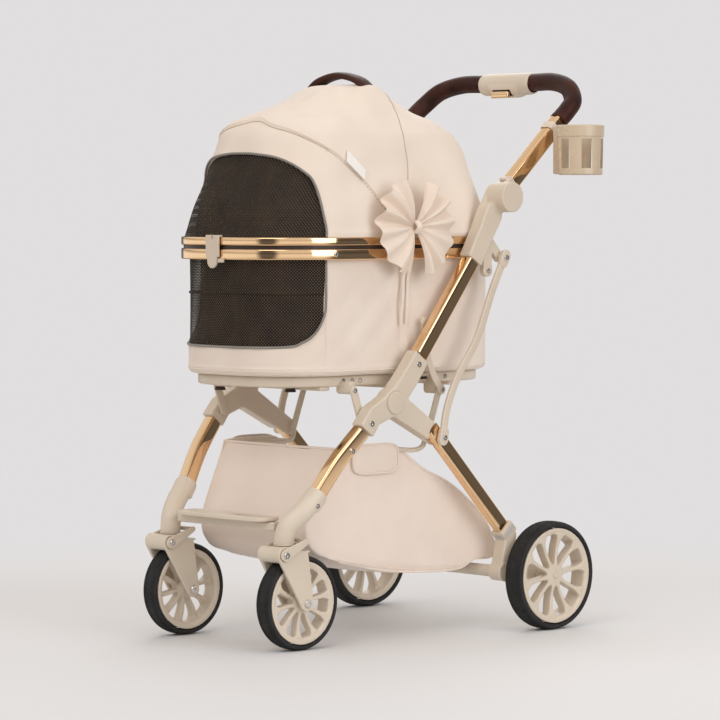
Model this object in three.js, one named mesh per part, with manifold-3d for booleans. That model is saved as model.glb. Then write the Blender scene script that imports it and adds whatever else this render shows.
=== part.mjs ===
// A pet stroller: a folding four-wheeled frame that carries a lift-off pet pod with a hinged canopy.
// Millimetres, +Z up, the front of the stroller towards -Y and its left side towards +X.
import * as THREE from 'three';
import * as BufferGeometryUtils from 'three/addons/utils/BufferGeometryUtils.js';
import Module from 'manifold-3d';

const wasm = await Module();
wasm.setup();

// Clearances
const GAP = 0.3; // between pieces that touch
const RUN = 0.5; // between pieces that turn or slide on each other
const SEAT = 2.5; // behind the end of a tube that stands in a casting

// Front casters
const FRONT_WHEEL_R = 85;
const FRONT_TYRE_W = 34;
const CASTER_X = 155.5; // stem axis
const CASTER_Y = -304;
const CASTER_TRAIL = 31; // wheel axle behind the stem axis
const STEM_TOP_Z = 188;
const FORK_PIVOT = [-327, 174]; // suspension pin, y and z
const FORK_INSIDE = 22; // half the room between the two fork legs
const FORK_LEG_T = 6.5;
const CROWN_LOW_Z = 176; // clears the tyre at the end of the suspension's travel

// Rear wheels
const REAR_WHEEL_R = 100.8;
const REAR_TYRE_W = 40;
const REAR_WHEEL_X = 251.5;
const REAR_WHEEL_Y = 273;

// Frame, positions as [y, z] in each side's plane
const HUB = [-91, 434];
const HANDLE_TUBE_START = [-23, 515];
const HANDLE_TUBE_END = [110, 685];
const FRONT_TUBE_START = [-160, 387];
const FRONT_TUBE_END = [-248, 274];
const FRONT_TUBE_END_X = 178;
const FOLD_PIVOT = [23, 367]; // rear legs fold forward about this pin
const REAR_TUBE_END = [189, 194];
const JOINT = [186, 803]; // handle folds about this pin
const TAIL_LUG = [182, 692];
const POD_LUG = [150, 668];
const BRACE_BENDS = [[150, 632], [111, 545], [62, 478], [34, 420]];
const SIDE_X = 205; // middle plane of the side tubes
const TUBE_W = 24;
const TUBE_H = 29;
const HUB_IN = 190.5;
const HUB_OUT = 218;
const HUB_DISC_R = 20;
const DISC_OUT = 222;
const LINK_IN = 184;
const LINK_T = 5;
const BRACE_T = 7;
const JOINT_R = 27;
const BUTTON_R = 18;
const BUTTON_IN = 222; // inner face of the joint's button
const BUTTON_TRAVEL = 2;
const PIN_R = 4;
const SWING_ROOM = 6; // round the rear leg's eye, so that the leg's corners clear the hub as it folds

// Handle
const GRIP_START = [345, 947];
const GRIP_BEND = [392, 986];
const GRIP_TOP = [418, 1022.5];
const GRIP_D = 34;
const CONTROL_HALF = 66;
const CUP_R = 44;
const CUP_H = 92;
const CUP_OUT = 83; // from the handle's side tube to the cup's middle
const CUP_UP = 185; // from the handle's joint up the side tube to the cup's clamp
const CUP_WALL = 3;

// Pod
const POD_Y = -28; // middle of the pod
const RING_HALF_W = 186;
const RING_HALF_L = 303;
const RING_CORNER = 150;
const TUB_INSET = 13;
const BASE_INSET = 30;
const TUB_BOTTOM = 484;
const LOWER_RING_Z = 691;
const LOWER_RING_H = 19;
const UPPER_RING_Z = 716.5;
const UPPER_RING_H = 14.5;
const RING_T = 13;
const SHELL_WALL = 5;
const CANOPY_TOP = 1006;

// Basket, side outline as [y, z]
const BASKET_HALF_W = 165;
const BASKET_NOSE_HALF_W = 153; // at the very front
const BASKET_WALL = 4;
const BASKET_TOP = 353;

const COLOURS = {
  fabric: [0xe8d6c4, 0.9, 0], plastic: [0xccbba4, 0.5, 0], gold: [0xd9a066, 0.12, 1],
  leather: [0x3e241e, 0.5, 0], rubber: [0x202020, 0.8, 0], steel: [0xcccccc, 0.25, 1],
};

const stroller = new THREE.Group();

function look([colour, roughness, metalness]) {
  return new THREE.MeshStandardMaterial({ color: colour, roughness, metalness });
}

function solid(geometry) {
  const bare = geometry.clone();
  bare.deleteAttribute('normal');
  bare.deleteAttribute('uv');
  const merged = BufferGeometryUtils.mergeVertices(bare, 1e-4);
  const triVerts = Uint32Array.from(merged.index.array);
  const vertProperties = Float32Array.from(merged.attributes.position.array);
  return new wasm.Manifold(new wasm.Mesh({ numProp: 3, vertProperties, triVerts }));
}

function geometryOf(manifold) {
  const mesh = manifold.getMesh();
  const geometry = new THREE.BufferGeometry();
  geometry.setAttribute('position', new THREE.BufferAttribute(mesh.vertProperties, 3));
  geometry.setIndex(new THREE.BufferAttribute(mesh.triVerts, 1));
  geometry.computeVertexNormals();
  return geometry;
}

function add(name, manifold, finish) {
  const mesh = new THREE.Mesh(geometryOf(manifold), look(COLOURS[finish]));
  mesh.name = name;
  stroller.add(mesh);
}

const union = (...pieces) => pieces.reduce((whole, piece) => whole.add(piece));

// Straight towards +x or mirrored to the other side of the stroller
const span = (side, low, high) => (side > 0 ? [low, high] : [-high, -low]);

// A flat outline in the y-z plane, as thick as low to high along x
function plate(outline, low, high) {
  const shape = new THREE.Shape(outline.map(([y, z]) => new THREE.Vector2(y, z)));
  const geometry = new THREE.ExtrudeGeometry(shape, { depth: high - low, bevelEnabled: false });
  const turn = new THREE.Matrix4().set(0, 0, 1, low, 1, 0, 0, 0, 0, 1, 0, 0, 0, 0, 0, 1);
  return solid(geometry.applyMatrix4(turn));
}

// A flat outline in the x-y plane, from one height to another
function slab(outline, low, high, hole) {
  const shape = new THREE.Shape(outline.map(([x, y]) => new THREE.Vector2(x, y)));
  if (hole) shape.holes.push(new THREE.Path(hole.map(([x, y]) => new THREE.Vector2(x, y))));
  const geometry = new THREE.ExtrudeGeometry(shape, { depth: high - low, bevelEnabled: false });
  return solid(geometry.translate(0, 0, low));
}

function block([x0, x1], [y0, y1], [z0, z1]) {
  const geometry = new THREE.BoxGeometry(x1 - x0, y1 - y0, z1 - z0);
  return solid(geometry.translate((x0 + x1) / 2, (y0 + y1) / 2, (z0 + z1) / 2));
}

// A round bar along x
function roundBar([y, z], r, low, high, sides = 16) {
  const geometry = new THREE.CylinderGeometry(r, r, high - low, sides).rotateZ(Math.PI / 2);
  return solid(geometry.translate((low + high) / 2, y, z));
}

function post(x, y, r, low, high, sides = 16) {
  const geometry = new THREE.CylinderGeometry(r, r, high - low, sides).rotateX(Math.PI / 2);
  return solid(geometry.translate(x, y, (low + high) / 2));
}

function circle([y, z], r, count = 14) {
  return Array.from({ length: count }, (_, i) => {
    const a = (2 * Math.PI * (i + 0.5)) / count;
    return [y + r * Math.cos(a), z + r * Math.sin(a)];
  });
}

// The smallest outline round several circles, each [[y, z], radius]
function wrap(...circles) {
  const points = circles.flatMap(([centre, r]) => circle(centre, r));
  points.sort((a, b) => a[0] - b[0] || a[1] - b[1]);
  const turn = (o, a, b) => (a[0] - o[0]) * (b[1] - o[1]) - (a[1] - o[1]) * (b[0] - o[0]);
  const chain = (list) => {
    const out = [];
    for (const p of list) {
      while (out.length > 1 && turn(out[out.length - 2], out[out.length - 1], p) <= 1e-6) out.pop();
      out.push(p);
    }
    return out.slice(0, -1);
  };
  return [...chain(points), ...chain(points.slice().reverse())];
}

const along = (a, b, d) => {
  const length = Math.hypot(b[0] - a[0], b[1] - a[1]);
  return [a[0] + ((b[0] - a[0]) * d) / length, a[1] + ((b[1] - a[1]) * d) / length];
};

// A tapered arm from a to b with square ends
function arm(a, b, widthA, widthB) {
  const length = Math.hypot(b[0] - a[0], b[1] - a[1]);
  const n = [-(b[1] - a[1]) / length, (b[0] - a[0]) / length];
  const corner = (p, w) => [p[0] + (n[0] * w) / 2, p[1] + (n[1] * w) / 2];
  return [corner(a, -widthA), corner(b, -widthB), corner(b, widthB), corner(a, widthA)];
}

// A tube section, rounded at its corners, swept along a smooth or straight path
function section(width, height, corner) {
  const shape = new THREE.Shape();
  const [w, h] = [width / 2, height / 2];
  shape.moveTo(-w + corner, -h).lineTo(w - corner, -h).quadraticCurveTo(w, -h, w, -h + corner);
  shape.lineTo(w, h - corner).quadraticCurveTo(w, h, w - corner, h).lineTo(-w + corner, h);
  shape.quadraticCurveTo(-w, h, -w, h - corner).lineTo(-w, -h + corner);
  shape.quadraticCurveTo(-w, -h, -w + corner, -h);
  return shape;
}

function straightTube(a, b, width = TUBE_W, height = TUBE_H) {
  const [from, to] = [new THREE.Vector3(...a), new THREE.Vector3(...b)];
  const direction = to.clone().sub(from);
  const depth = direction.length();
  direction.normalize();
  const across = new THREE.Vector3(1, 0, 0).addScaledVector(direction, -direction.x).normalize();
  const up = direction.clone().cross(across);
  const place = new THREE.Matrix4().makeBasis(across, up, direction).setPosition(from);
  const shape = section(width, height, 9);
  const geometry = new THREE.ExtrudeGeometry(shape, { depth, bevelEnabled: false, curveSegments: 2 });
  return solid(geometry.applyMatrix4(place));
}

function bentRod(points, r, steps, sides = 10) {
  const path = new THREE.CatmullRomCurve3(points.map((p) => new THREE.Vector3(...p)));
  const shape = new THREE.Shape().absarc(0, 0, r, 0, 2 * Math.PI);
  const settings = { extrudePath: path, steps, bevelEnabled: false, curveSegments: sides / 2 };
  return solid(new THREE.ExtrudeGeometry(shape, settings));
}

// A closed profile of [radius, x] turned about an axle along x
function turned(profile, x, [y, z], sides = 24) {
  const closed = [...profile, profile[0]].map(([r, w]) => new THREE.Vector2(r, w));
  const geometry = new THREE.LatheGeometry(closed, sides).rotateZ(-Math.PI / 2);
  const made = solid(geometry);
  const upright = made.volume() < 0 ? solid(new THREE.LatheGeometry(closed.reverse(), sides)
    .rotateZ(-Math.PI / 2)) : made;
  return upright.translate([x, y, z]);
}

// The pod's plan outline, a rounded rectangle drawn in by inset
function podOutline(inset, steps = 5) {
  const r = RING_CORNER - inset;
  const w = RING_HALF_W - inset;
  const l = RING_HALF_L - inset;
  const corners = [[1, 1, 0], [-1, 1, 1], [-1, -1, 2], [1, -1, 3]];
  return corners.flatMap(([sx, sy, quarter]) => Array.from({ length: steps + 1 }, (_, i) => {
    const a = (Math.PI / 2) * (quarter + i / steps);
    return [sx * (w - r) + r * Math.cos(a), POD_Y + sy * (l - r) + r * Math.sin(a)];
  }));
}

// Skins stacked outlines, each [outline, z], into a closed solid
function loft(levels) {
  const count = levels[0][0].length;
  const position = levels.flatMap(([outline, z]) => outline.flatMap(([x, y]) => [x, y, z]));
  const index = [];
  for (let k = 0; k + 1 < levels.length; k += 1) {
    for (let i = 0; i < count; i += 1) {
      const [a, b] = [k * count + i, k * count + ((i + 1) % count)];
      index.push(a, b, b + count, a, b + count, a + count);
    }
  }
  const lid = (k, flip) => {
    const triangles = THREE.ShapeUtils.triangulateShape(
      levels[k][0].map(([x, y]) => new THREE.Vector2(x, y)), []);
    for (const [a, b, c] of triangles) {
      const corner = flip ? [a, c, b] : [a, b, c];
      index.push(...corner.map((v) => k * count + v));
    }
  };
  lid(0, true);
  lid(levels.length - 1, false);
  const geometry = new THREE.BufferGeometry();
  geometry.setAttribute('position', new THREE.Float32BufferAttribute(position, 3));
  geometry.setIndex(index);
  return solid(geometry);
}

function wheel(name, side, x, [y, z], r, width, rimShare) {
  const [rimOut, rimIn, hubR] = [r * rimShare, r * (rimShare - 0.13), r * 0.2];
  const half = width / 2;
  const crown = [[rimOut + GAP + 0.6, -half * 0.8], [r * 0.94, -half], [r, -half * 0.35], [r, half * 0.35],
    [r * 0.94, half], [rimOut + GAP + 0.6, half * 0.8]];
  add(`${name}_tyre`, turned(crown, x, [y, z], 32), 'rubber');
  const ring = turned([[rimIn, -half * 0.75], [rimOut, -half * 0.75], [rimOut, half * 0.75],
    [rimIn, half * 0.75]], x, [y, z]);
  let rim = union(ring, roundBar([y, z], hubR, x - half * 0.9, x + half * 0.9));
  for (let k = 0; k < 10; k += 1) {
    const spoke = block([-half * 0.6, half * 0.6], [hubR * 0.6, rimIn + 2], [-3, 3]);
    rim = rim.add(spoke.rotate([36 * k, 0, 0]).translate([x, y, z]));
  }
  return rim;
}

function caster(name, side) {
  const x = side * CASTER_X;
  const axle = [CASTER_Y + CASTER_TRAIL, FRONT_WHEEL_R + 0.2];
  const across = (half) => [x - half, x + half];
  const [legIn, legOut] = [FORK_INSIDE, FORK_INSIDE + FORK_LEG_T];
  const earIn = legOut + RUN;
  const barrelR = 10.5;

  const rim = wheel(name, side, x, axle, FRONT_WHEEL_R, FRONT_TYRE_W, 0.856);
  add(`${name}_rim`, rim.subtract(roundBar(axle, 5 + GAP, ...across(60))), 'plastic');

  // Fork: two legs on the suspension barrel, joined in front of the tyre and by the spring seat
  const outline = wrap([FORK_PIVOT, 15], [[-282, 166], 12], [axle, 14.5]);
  const leg = (low) => plate(outline, low, low + FORK_LEG_T);
  const seat = block(across(legOut), [-281, -267], [175, 179]);
  const web = roundBar(FORK_PIVOT, 14.8, ...across(legOut)).intersect(
    block(across(legOut), [-345, -327], [150, 174]));
  let fork = union(leg(x + legIn), leg(x - legOut), seat, web);
  fork = fork.subtract(roundBar(FORK_PIVOT, barrelR + RUN, ...across(60)));
  const shaft = roundBar(axle, 5, ...across(legOut + 3));
  add(`${name}_fork`, fork.add(shaft), 'plastic');

  // Crown: swivel disc under the neck, suspension barrel, ears and the hook over the spring
  const disc = post(x, CASTER_Y, 20, CROWN_LOW_Z, STEM_TOP_Z - GAP);
  const barrel = roundBar(FORK_PIVOT, barrelR, ...across(earIn + 4));
  const ear = wrap([FORK_PIVOT, 11], [[-276, 196], 5]);
  const hook = block(across(earIn + 4), [-282, -272], [193, 200]);
  const stem = post(x, CASTER_Y, 7, STEM_TOP_Z - 1, STEM_TOP_Z + 22);
  add(`${name}_crown`, union(disc, barrel, hook, stem, plate(ear, x + earIn, x + earIn + 4),
    plate(ear, x - earIn - 4, x - earIn)), 'plastic');
  add(`${name}_spring`, post(x, -278, 5.5, 179 + GAP, 193 - GAP, 16), 'steel');
}

// Neck: from the front tube down to the upright caster stem
function neck(name, side) {
  const bend = [
    [side * (FRONT_TUBE_END_X - 1), -252, 269], [side * 172, -275, 246], [side * 160, -297, 222],
    [side * CASTER_X, CASTER_Y, STEM_TOP_Z],
  ];
  const casting = bentRod(bend, 18.5, 6, 10);
  const socket = straightTube([side * FRONT_TUBE_END_X, ...FRONT_TUBE_END],
    [side * (FRONT_TUBE_END_X - 4), -262, 256], TUBE_W + 7, TUBE_H + 7);
  const flat = block([-400, 400], [-500, 0], [100, STEM_TOP_Z]);
  const bore = post(side * CASTER_X, CASTER_Y, 7 + RUN, STEM_TOP_Z - 5, STEM_TOP_Z + 24);
  add(name, casting.add(socket).subtract(flat).subtract(bore), 'plastic');
}

function sideFrame(label, side) {
  const at = (low, high) => span(side, low, high);
  const eyeR = 15;
  const handleKnee = along(HANDLE_TUBE_START, HANDLE_TUBE_END, -45);
  const frontKnee = along(FRONT_TUBE_START, FRONT_TUBE_END, -32);

  // Hub casting: three arms on a disc, with a cheek and pin that carry the rear leg
  const arms = [
    plate(arm(HUB, handleKnee, 42, 39), ...at(HUB_IN, HUB_OUT)),
    plate(arm(handleKnee, HANDLE_TUBE_START, 39, 38), ...at(HUB_IN, HUB_OUT)),
    plate(wrap([HUB, 22], [frontKnee, 18]), ...at(HUB_IN, HUB_OUT)),
    plate(arm(frontKnee, FRONT_TUBE_START, 35, 37), ...at(HUB_IN, HUB_OUT)),
    plate(arm(HUB, FOLD_PIVOT, 46, 31), ...at(HUB_IN, HUB_OUT)),
    plate(circle(HUB, 26), ...at(HUB_IN, HUB_OUT)),
    plate(circle(HUB, HUB_DISC_R), ...at(HUB_OUT - 1, DISC_OUT)),
  ];
  const room = plate(circle(FOLD_PIVOT, eyeR + SWING_ROOM, 20), ...at(196.5, HUB_OUT + 1));
  const cheek = plate(circle(FOLD_PIVOT, eyeR), ...at(HUB_IN, 196.5 - RUN));
  const pin = plate(circle(FOLD_PIVOT, PIN_R, 16), ...at(HUB_IN + 1, HUB_OUT));
  add(`hub_${label}`, union(...arms).subtract(room).add(cheek).add(pin), 'plastic');

  const tubeX = side * SIDE_X;
  const start = along(HANDLE_TUBE_START, HANDLE_TUBE_END, SEAT);
  add(`lower_tube_${label}`, straightTube([tubeX, ...start], [tubeX, ...HANDLE_TUBE_END]), 'gold');
  const top = along(FRONT_TUBE_START, FRONT_TUBE_END, SEAT);
  const low = along(FRONT_TUBE_END, FRONT_TUBE_START, SEAT);
  add(`front_tube_${label}`, straightTube([side * 202, ...top], [side * FRONT_TUBE_END_X, ...low]), 'gold');
  neck(`neck_${label}`, side);

  // Lower half of the handle joint, from the tube's end to the joint's pin
  const base = along(HANDLE_TUBE_END, HANDLE_TUBE_START, -SEAT);
  const [inner, outer] = [191, 211];
  const housing = union(
    plate(arm(base, [140, 735], 38, 40), ...at(inner, HUB_OUT)),
    plate(wrap([[140, 735], 19], [[160, 771], 22]), ...at(inner, HUB_OUT)),
    plate(wrap([[146, 748], 20], [JOINT, JOINT_R - 1]), ...at(inner, outer - 11)),
    plate(wrap([[150, 728], 9], [TAIL_LUG, 9]), ...at(200, 212)),
    plate(wrap([[150, 728], 9], [POD_LUG, 11]), ...at(200, 212)),
  );
  add(`joint_housing_${label}`, housing.subtract(
    plate(circle(JOINT, JOINT_R + 2 * RUN, 20), ...at(outer - 11, 240))).add(
    plate(circle(JOINT, PIN_R * 2, 16), ...at(inner + 1, outer + 2))), 'plastic');

  // Brace: from the housing's lug to the fold pin
  const braceIn = HUB_OUT + GAP + 0.5;
  const stops = [TAIL_LUG, ...BRACE_BENDS, FOLD_PIVOT];
  const bars = stops.slice(1).map((p, i) => plate(
    wrap([stops[i], 7.5], [p, 7.5]), ...at(braceIn, braceIn + BRACE_T)));
  const caps = [TAIL_LUG, FOLD_PIVOT].map((p) => plate(circle(p, 12), ...at(braceIn, braceIn + BRACE_T + 1)));
  const foot = plate(circle(TAIL_LUG, 9), ...at(212 + GAP, braceIn + 1));
  add(`brace_${label}`, union(...bars, ...caps, foot), 'plastic');

  // Links that carry the pod's base
  const link = (points, r, inset = 0) => {
    const pieces = points.slice(1).map((p, i) => plate(
      wrap([points[i], r], [p, r]), ...at(LINK_IN + inset, LINK_IN + LINK_T + inset)));
    return union(...pieces);
  };
  add(`front_link_${label}`, link([[-165, 458], [-147, 405]], 8), 'plastic');
  add(`curved_link_${label}`, link([[10, 577], [16, 525], [34, 480], [54, 452]], 7), 'plastic');
  add(`inner_link_${label}`, link([[54, 452], FOLD_PIVOT], 6, -LINK_T - GAP), 'plastic');

  // Rear leg
  const axis = along(FOLD_PIVOT, REAR_TUBE_END, 1);
  const [legIn, legOut] = [197, 217];
  const eye = plate(circle(FOLD_PIVOT, eyeR - 0.5, 20), ...at(legIn, legOut));
  const tube = straightTube([side * 207, ...axis], [side * 207, ...REAR_TUBE_END], 20, 27);
  const bore = plate(circle(FOLD_PIVOT, PIN_R + RUN, 16), ...at(legIn - 2, HUB_OUT + 2));
  add(`rear_tube_${label}`, eye.add(tube).subtract(bore), 'gold');

  // Rear foot: socket, round housing for the axle bar, and the trailing arm to the stub axle
  const socketEnd = along(REAR_TUBE_END, [189 + 40, 194 - 41.7], 24);
  const socketStart = along(REAR_TUBE_END, socketEnd, GAP);
  const [footIn, footOut] = [193, 221];
  const axle = [REAR_WHEEL_Y, REAR_WHEEL_R + 0.2];
  const socket = plate(arm(socketStart, socketEnd, 35, 36), ...at(footIn, footOut));
  const barrel = plate(circle([186, 110], 17, 24), ...at(footIn, footOut));
  const shin = plate(wrap([[204, 176], 14], [[190, 118], 13]), ...at(footIn, footOut));
  const trail = plate(wrap([[196, 118], 13], [axle, 13]), ...at(footIn + 8, footOut));
  const stub = roundBar(axle, 6, ...at(footOut - 2, REAR_WHEEL_X + REAR_TYRE_W / 2));
  add(`rear_foot_${label}`, union(socket, barrel, shin, trail, stub), 'plastic');
  const rim = wheel(`rear_${label}`, side, side * REAR_WHEEL_X, axle, REAR_WHEEL_R, REAR_TYRE_W, 0.863);
  add(`rear_${label}_rim`, rim.subtract(roundBar(axle, 6 + GAP, ...at(200, 320))), 'plastic');
}

function handleSide(label, side) {
  const at = (low, high) => span(side, low, high);
  const armStart = along(JOINT, GRIP_START, JOINT_R + 3);
  const tubeStart = along(JOINT, GRIP_START, JOINT_R + 34);
  const disc = plate(circle(JOINT, JOINT_R, 20), ...at(211 + RUN, 228));
  const shoulder = plate(arm(along(JOINT, GRIP_START, 8), along(JOINT, GRIP_START, JOINT_R + 30), 40, 34),
    ...at(211 + RUN, 219));
  const socket = plate(arm(armStart, along(tubeStart, JOINT, GAP), 38, 34), ...at(192, 219));
  const well = plate(circle(JOINT, BUTTON_R + RUN, 24), ...at(BUTTON_IN - BUTTON_TRAVEL - RUN, 230));
  const eye = plate(circle(JOINT, PIN_R * 2 + RUN, 20), ...at(210, 216));
  add(`joint_disc_${label}`, union(disc, shoulder, socket).subtract(well).subtract(eye), 'plastic');
  add(`joint_button_${label}`, plate(circle(JOINT, BUTTON_R, 24), ...at(BUTTON_IN, 230.5)), 'plastic');
  const tubeX = side * SIDE_X;
  add(`upper_tube_${label}`, straightTube([tubeX, ...tubeStart],
    [tubeX, ...along(GRIP_START, JOINT, SEAT)]), 'gold');
}

function handleBar() {
  const half = [[SIDE_X, ...GRIP_START], [SIDE_X, 368, 966], [SIDE_X - 4, ...GRIP_BEND],
    [SIDE_X - 28, 408, 1013], [SIDE_X - 70, ...GRIP_TOP], [60, 421, 1021]];
  const mirrored = half.map(([x, y, z]) => [-x, y, z]).reverse();
  const grip = bentRod([...half, ...mirrored], GRIP_D / 2, 30, 8);
  add('grip', grip, 'leather');
  const sleeve = roundBar([421, 1021], GRIP_D / 2 + 5, -CONTROL_HALF, CONTROL_HALF, 24);
  const room = roundBar([421, 1021], GRIP_D / 2 + 1, -CONTROL_HALF - 1, CONTROL_HALF + 1, 24);
  const slot = block([-21, 21], [390, 412], [990, 1014]);
  add('control_housing', sleeve.subtract(room).subtract(slot), 'plastic');
  add('release_button', block([-20, 20], [392, 399.5], [1000, 1013]), 'gold');
}

function cupHolder() {
  const place = along(JOINT, GRIP_START, CUP_UP);
  const centre = [SIDE_X + CUP_OUT, place[0] - 8];
  const z0 = place[1] - CUP_H + 9;
  const outer = post(...centre, CUP_R, z0, z0 + CUP_H, 24);
  const inner = post(...centre, CUP_R - CUP_WALL, z0 + CUP_WALL, z0 + CUP_H + 1, 24);
  let cup = outer.subtract(inner);
  for (let k = 0; k < 6; k += 1) {
    const slot = block([CUP_R - 8, CUP_R + 4], [-10, 10], [z0 + 14, z0 + CUP_H - 26]);
    cup = cup.subtract(slot.rotate([0, 0, 30 + 60 * k]).translate([...centre, 0]));
  }
  const bracket = block([SIDE_X + 22, centre[0] - CUP_R + 1], [centre[1] - 14, centre[1] + 14],
    [z0 + CUP_H - 24, z0 + CUP_H - 2]);
  add('cup_holder', cup.add(bracket), 'plastic');
  const [a, b] = [along(place, JOINT, 16), along(place, GRIP_START, 16)];
  const collar = straightTube([SIDE_X, ...a], [SIDE_X, ...b], TUBE_W + 9, TUBE_H + 9);
  const tube = straightTube([SIDE_X, ...along(place, JOINT, 30)], [SIDE_X, ...along(place, GRIP_START, 30)],
    TUBE_W + 2 * GAP, TUBE_H + 2 * GAP);
  const tab = block([SIDE_X + 14, SIDE_X + 22 - GAP], [place[0] - 12, place[0] + 12],
    [place[1] - 11, place[1] + 11]);
  add('cup_clamp', collar.subtract(tube).add(tab), 'plastic');
}

function frontCrossbar() {
  const [y, z] = [-294, 219];
  const reach = CASTER_X - 24;
  const bar = block([-reach, reach], [y - 13, y + 13], [z - 8, z + 8]);
  add('front_crossbar', bar, 'plastic');
  add('footrest', block([-118, 118], [y - 34, y + 22], [z + 8 + GAP, z + 16]), 'plastic');
}

function rearAxle() {
  add('axle_bar', roundBar([186, 110], 11, -193 + GAP, 193 - GAP, 24), 'plastic');
  const pedal = union(plate(circle([186, 110], 16, 24), -30, 30),
    block([-26, 26], [188, 236], [101, 109]));
  add('brake_pedal', pedal.subtract(roundBar([186, 110], 11 + RUN, -40, 40, 24)), 'plastic');
}

function podBase() {
  const [low, high] = [463, TUB_BOTTOM - GAP];
  const rim = slab(podOutline(BASE_INSET), low, high);
  const reach = RING_HALF_W - BASE_INSET;
  const bars = [-200, -37, 120].map((y) => block([6 - reach, reach - 6], [y - 12, y + 12], [low - 6, low + 1]));
  const brackets = [1, -1].flatMap((side) => [
    plate(wrap([[-165, 458], 8], [[-165, 470], 9]), ...span(side, reach - 8, LINK_IN - GAP)),
    plate(wrap([[54, 452], 8], [[54, 470], 11]), ...span(side, reach - 8, LINK_IN - LINK_T - 2 * GAP)),
  ]);
  add('base_frame', union(rim, ...bars, ...brackets), 'plastic');
}

// How far up the canopy, then how much of the pod's outline is left in front and behind
const CANOPY = [[0, 1, 1], [0.2, 0.925, 0.96], [0.45, 0.815, 0.875], [0.66, 0.732, 0.777], [0.71, 0.695, 0.72],
  [0.76, 0.63, 0.643], [0.815, 0.5, 0.51], [0.865, 0.375, 0.43], [0.95, 0.205, 0.31], [1, 0.08, 0.15]];

function canopyShell(inset, bottom, top) {
  const drawnIn = (front, rear) => podOutline(inset).map(([x, y]) => [
    (x * (front + rear)) / 2, POD_Y + (y - POD_Y) * (y < POD_Y ? front : rear)]);
  return loft(CANOPY.map(([rise, front, rear]) => [drawnIn(front, rear), bottom + rise * (top - bottom)]));
}

function pod() {
  const tub = slab(podOutline(TUB_INSET), TUB_BOTTOM, LOWER_RING_Z + LOWER_RING_H);
  const hollow = slab(podOutline(TUB_INSET + SHELL_WALL), TUB_BOTTOM + SHELL_WALL, 800);
  add('tub', tub.subtract(hollow), 'fabric');
  add('lower_ring', slab(podOutline(0), LOWER_RING_Z, LOWER_RING_Z + LOWER_RING_H,
    podOutline(TUB_INSET - GAP)), 'gold');
  add('floor_cushion', slab(podOutline(TUB_INSET + SHELL_WALL + 4),
    TUB_BOTTOM + SHELL_WALL + GAP, TUB_BOTTOM + 30), 'fabric');
  add('upper_ring', slab(podOutline(0), UPPER_RING_Z, UPPER_RING_Z + UPPER_RING_H,
    podOutline(RING_T)), 'gold');
  const bottom = UPPER_RING_Z + UPPER_RING_H + GAP;
  const shell = canopyShell(3, bottom, CANOPY_TOP);
  const room = canopyShell(3 + SHELL_WALL, bottom, CANOPY_TOP - SHELL_WALL);
  const mouth = slab(podOutline(3 + SHELL_WALL), bottom - 2, bottom + 0.5);
  add('canopy', shell.subtract(room).subtract(mouth), 'fabric');
  const strap = bentRod([[-90, -24, CANOPY_TOP - 22], [-62, -24, CANOPY_TOP + 6], [0, -24, CANOPY_TOP + 18],
    [62, -24, CANOPY_TOP + 6], [90, -24, CANOPY_TOP - 22]], 8, 12, 8);
  const under = canopyShell(3 - GAP, bottom - GAP, CANOPY_TOP + GAP);
  add('carry_handle', strap.subtract(under), 'leather');
  const front = POD_Y - RING_HALF_L;
  const latch = union(block([-17, 17], [front - 7, front - 1], [LOWER_RING_Z - 6, UPPER_RING_Z + 18]),
    block([-12, 12], [front - 7, front - 1], [LOWER_RING_Z - 16, LOWER_RING_Z + 4]));
  add('latch', latch, 'plastic');
}

function basket() {
  const side = [[-172, BASKET_TOP], [-240, 232], [-246, 205], [-236, 176], [-190, 150], [-60, 122], [60, 112],
    [130, 113], [164, 127], [206, 128], [222, 138], [214, 164], [190, 205], [151, 241], [95, 279], [34, 305],
    [-20, 335], [-35, BASKET_TOP]];
  const outer = plate(side.slice().reverse(), -BASKET_HALF_W, BASKET_HALF_W);
  const inside = [[-167, BASKET_TOP + 40], [-167, BASKET_TOP - 4], [-235, 232], [-241, 206], [-232, 181],
    [-189, 155], [-60, 127], [60, 117], [129, 118], [162, 131.5], [204, 132.5], [216, 141],
    [216, BASKET_TOP + 40]];
  const inner = BASKET_HALF_W - BASKET_WALL;
  const hollow = plate(inside.slice().reverse(), -inner, inner);
  const nose = (half, front, back) => [[-half, front], [half, front], [BASKET_HALF_W + 9, back],
    [BASKET_HALF_W + 9, 300], [-BASKET_HALF_W - 9, 300], [-BASKET_HALF_W - 9, back]];
  const plan = slab(nose(BASKET_NOSE_HALF_W, -250, -140), 0, 500);
  const innerPlan = slab(nose(BASKET_NOSE_HALF_W - BASKET_WALL - 1, -250, -138), 0, 500);
  add('basket', outer.intersect(plan).subtract(hollow.intersect(innerPlan)), 'fabric');
}

for (const [label, side] of [['left', 1], ['right', -1]]) {
  sideFrame(label, side);
  caster(`front_${label}`, side);
  handleSide(label, side);
}
handleBar();
cupHolder();
frontCrossbar();
rearAxle();
podBase();
pod();
basket();

// The origin is on the floor, under the middle of the whole stroller
const whole = new THREE.Box3().setFromObject(stroller);
const middle = whole.getCenter(new THREE.Vector3());
stroller.position.set(-middle.x, -middle.y, -whole.min.z);
stroller.updateMatrixWorld(true);

export default stroller;
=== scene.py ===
import math

import bpy
import numpy as np
from mathutils import Matrix, Vector


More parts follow.
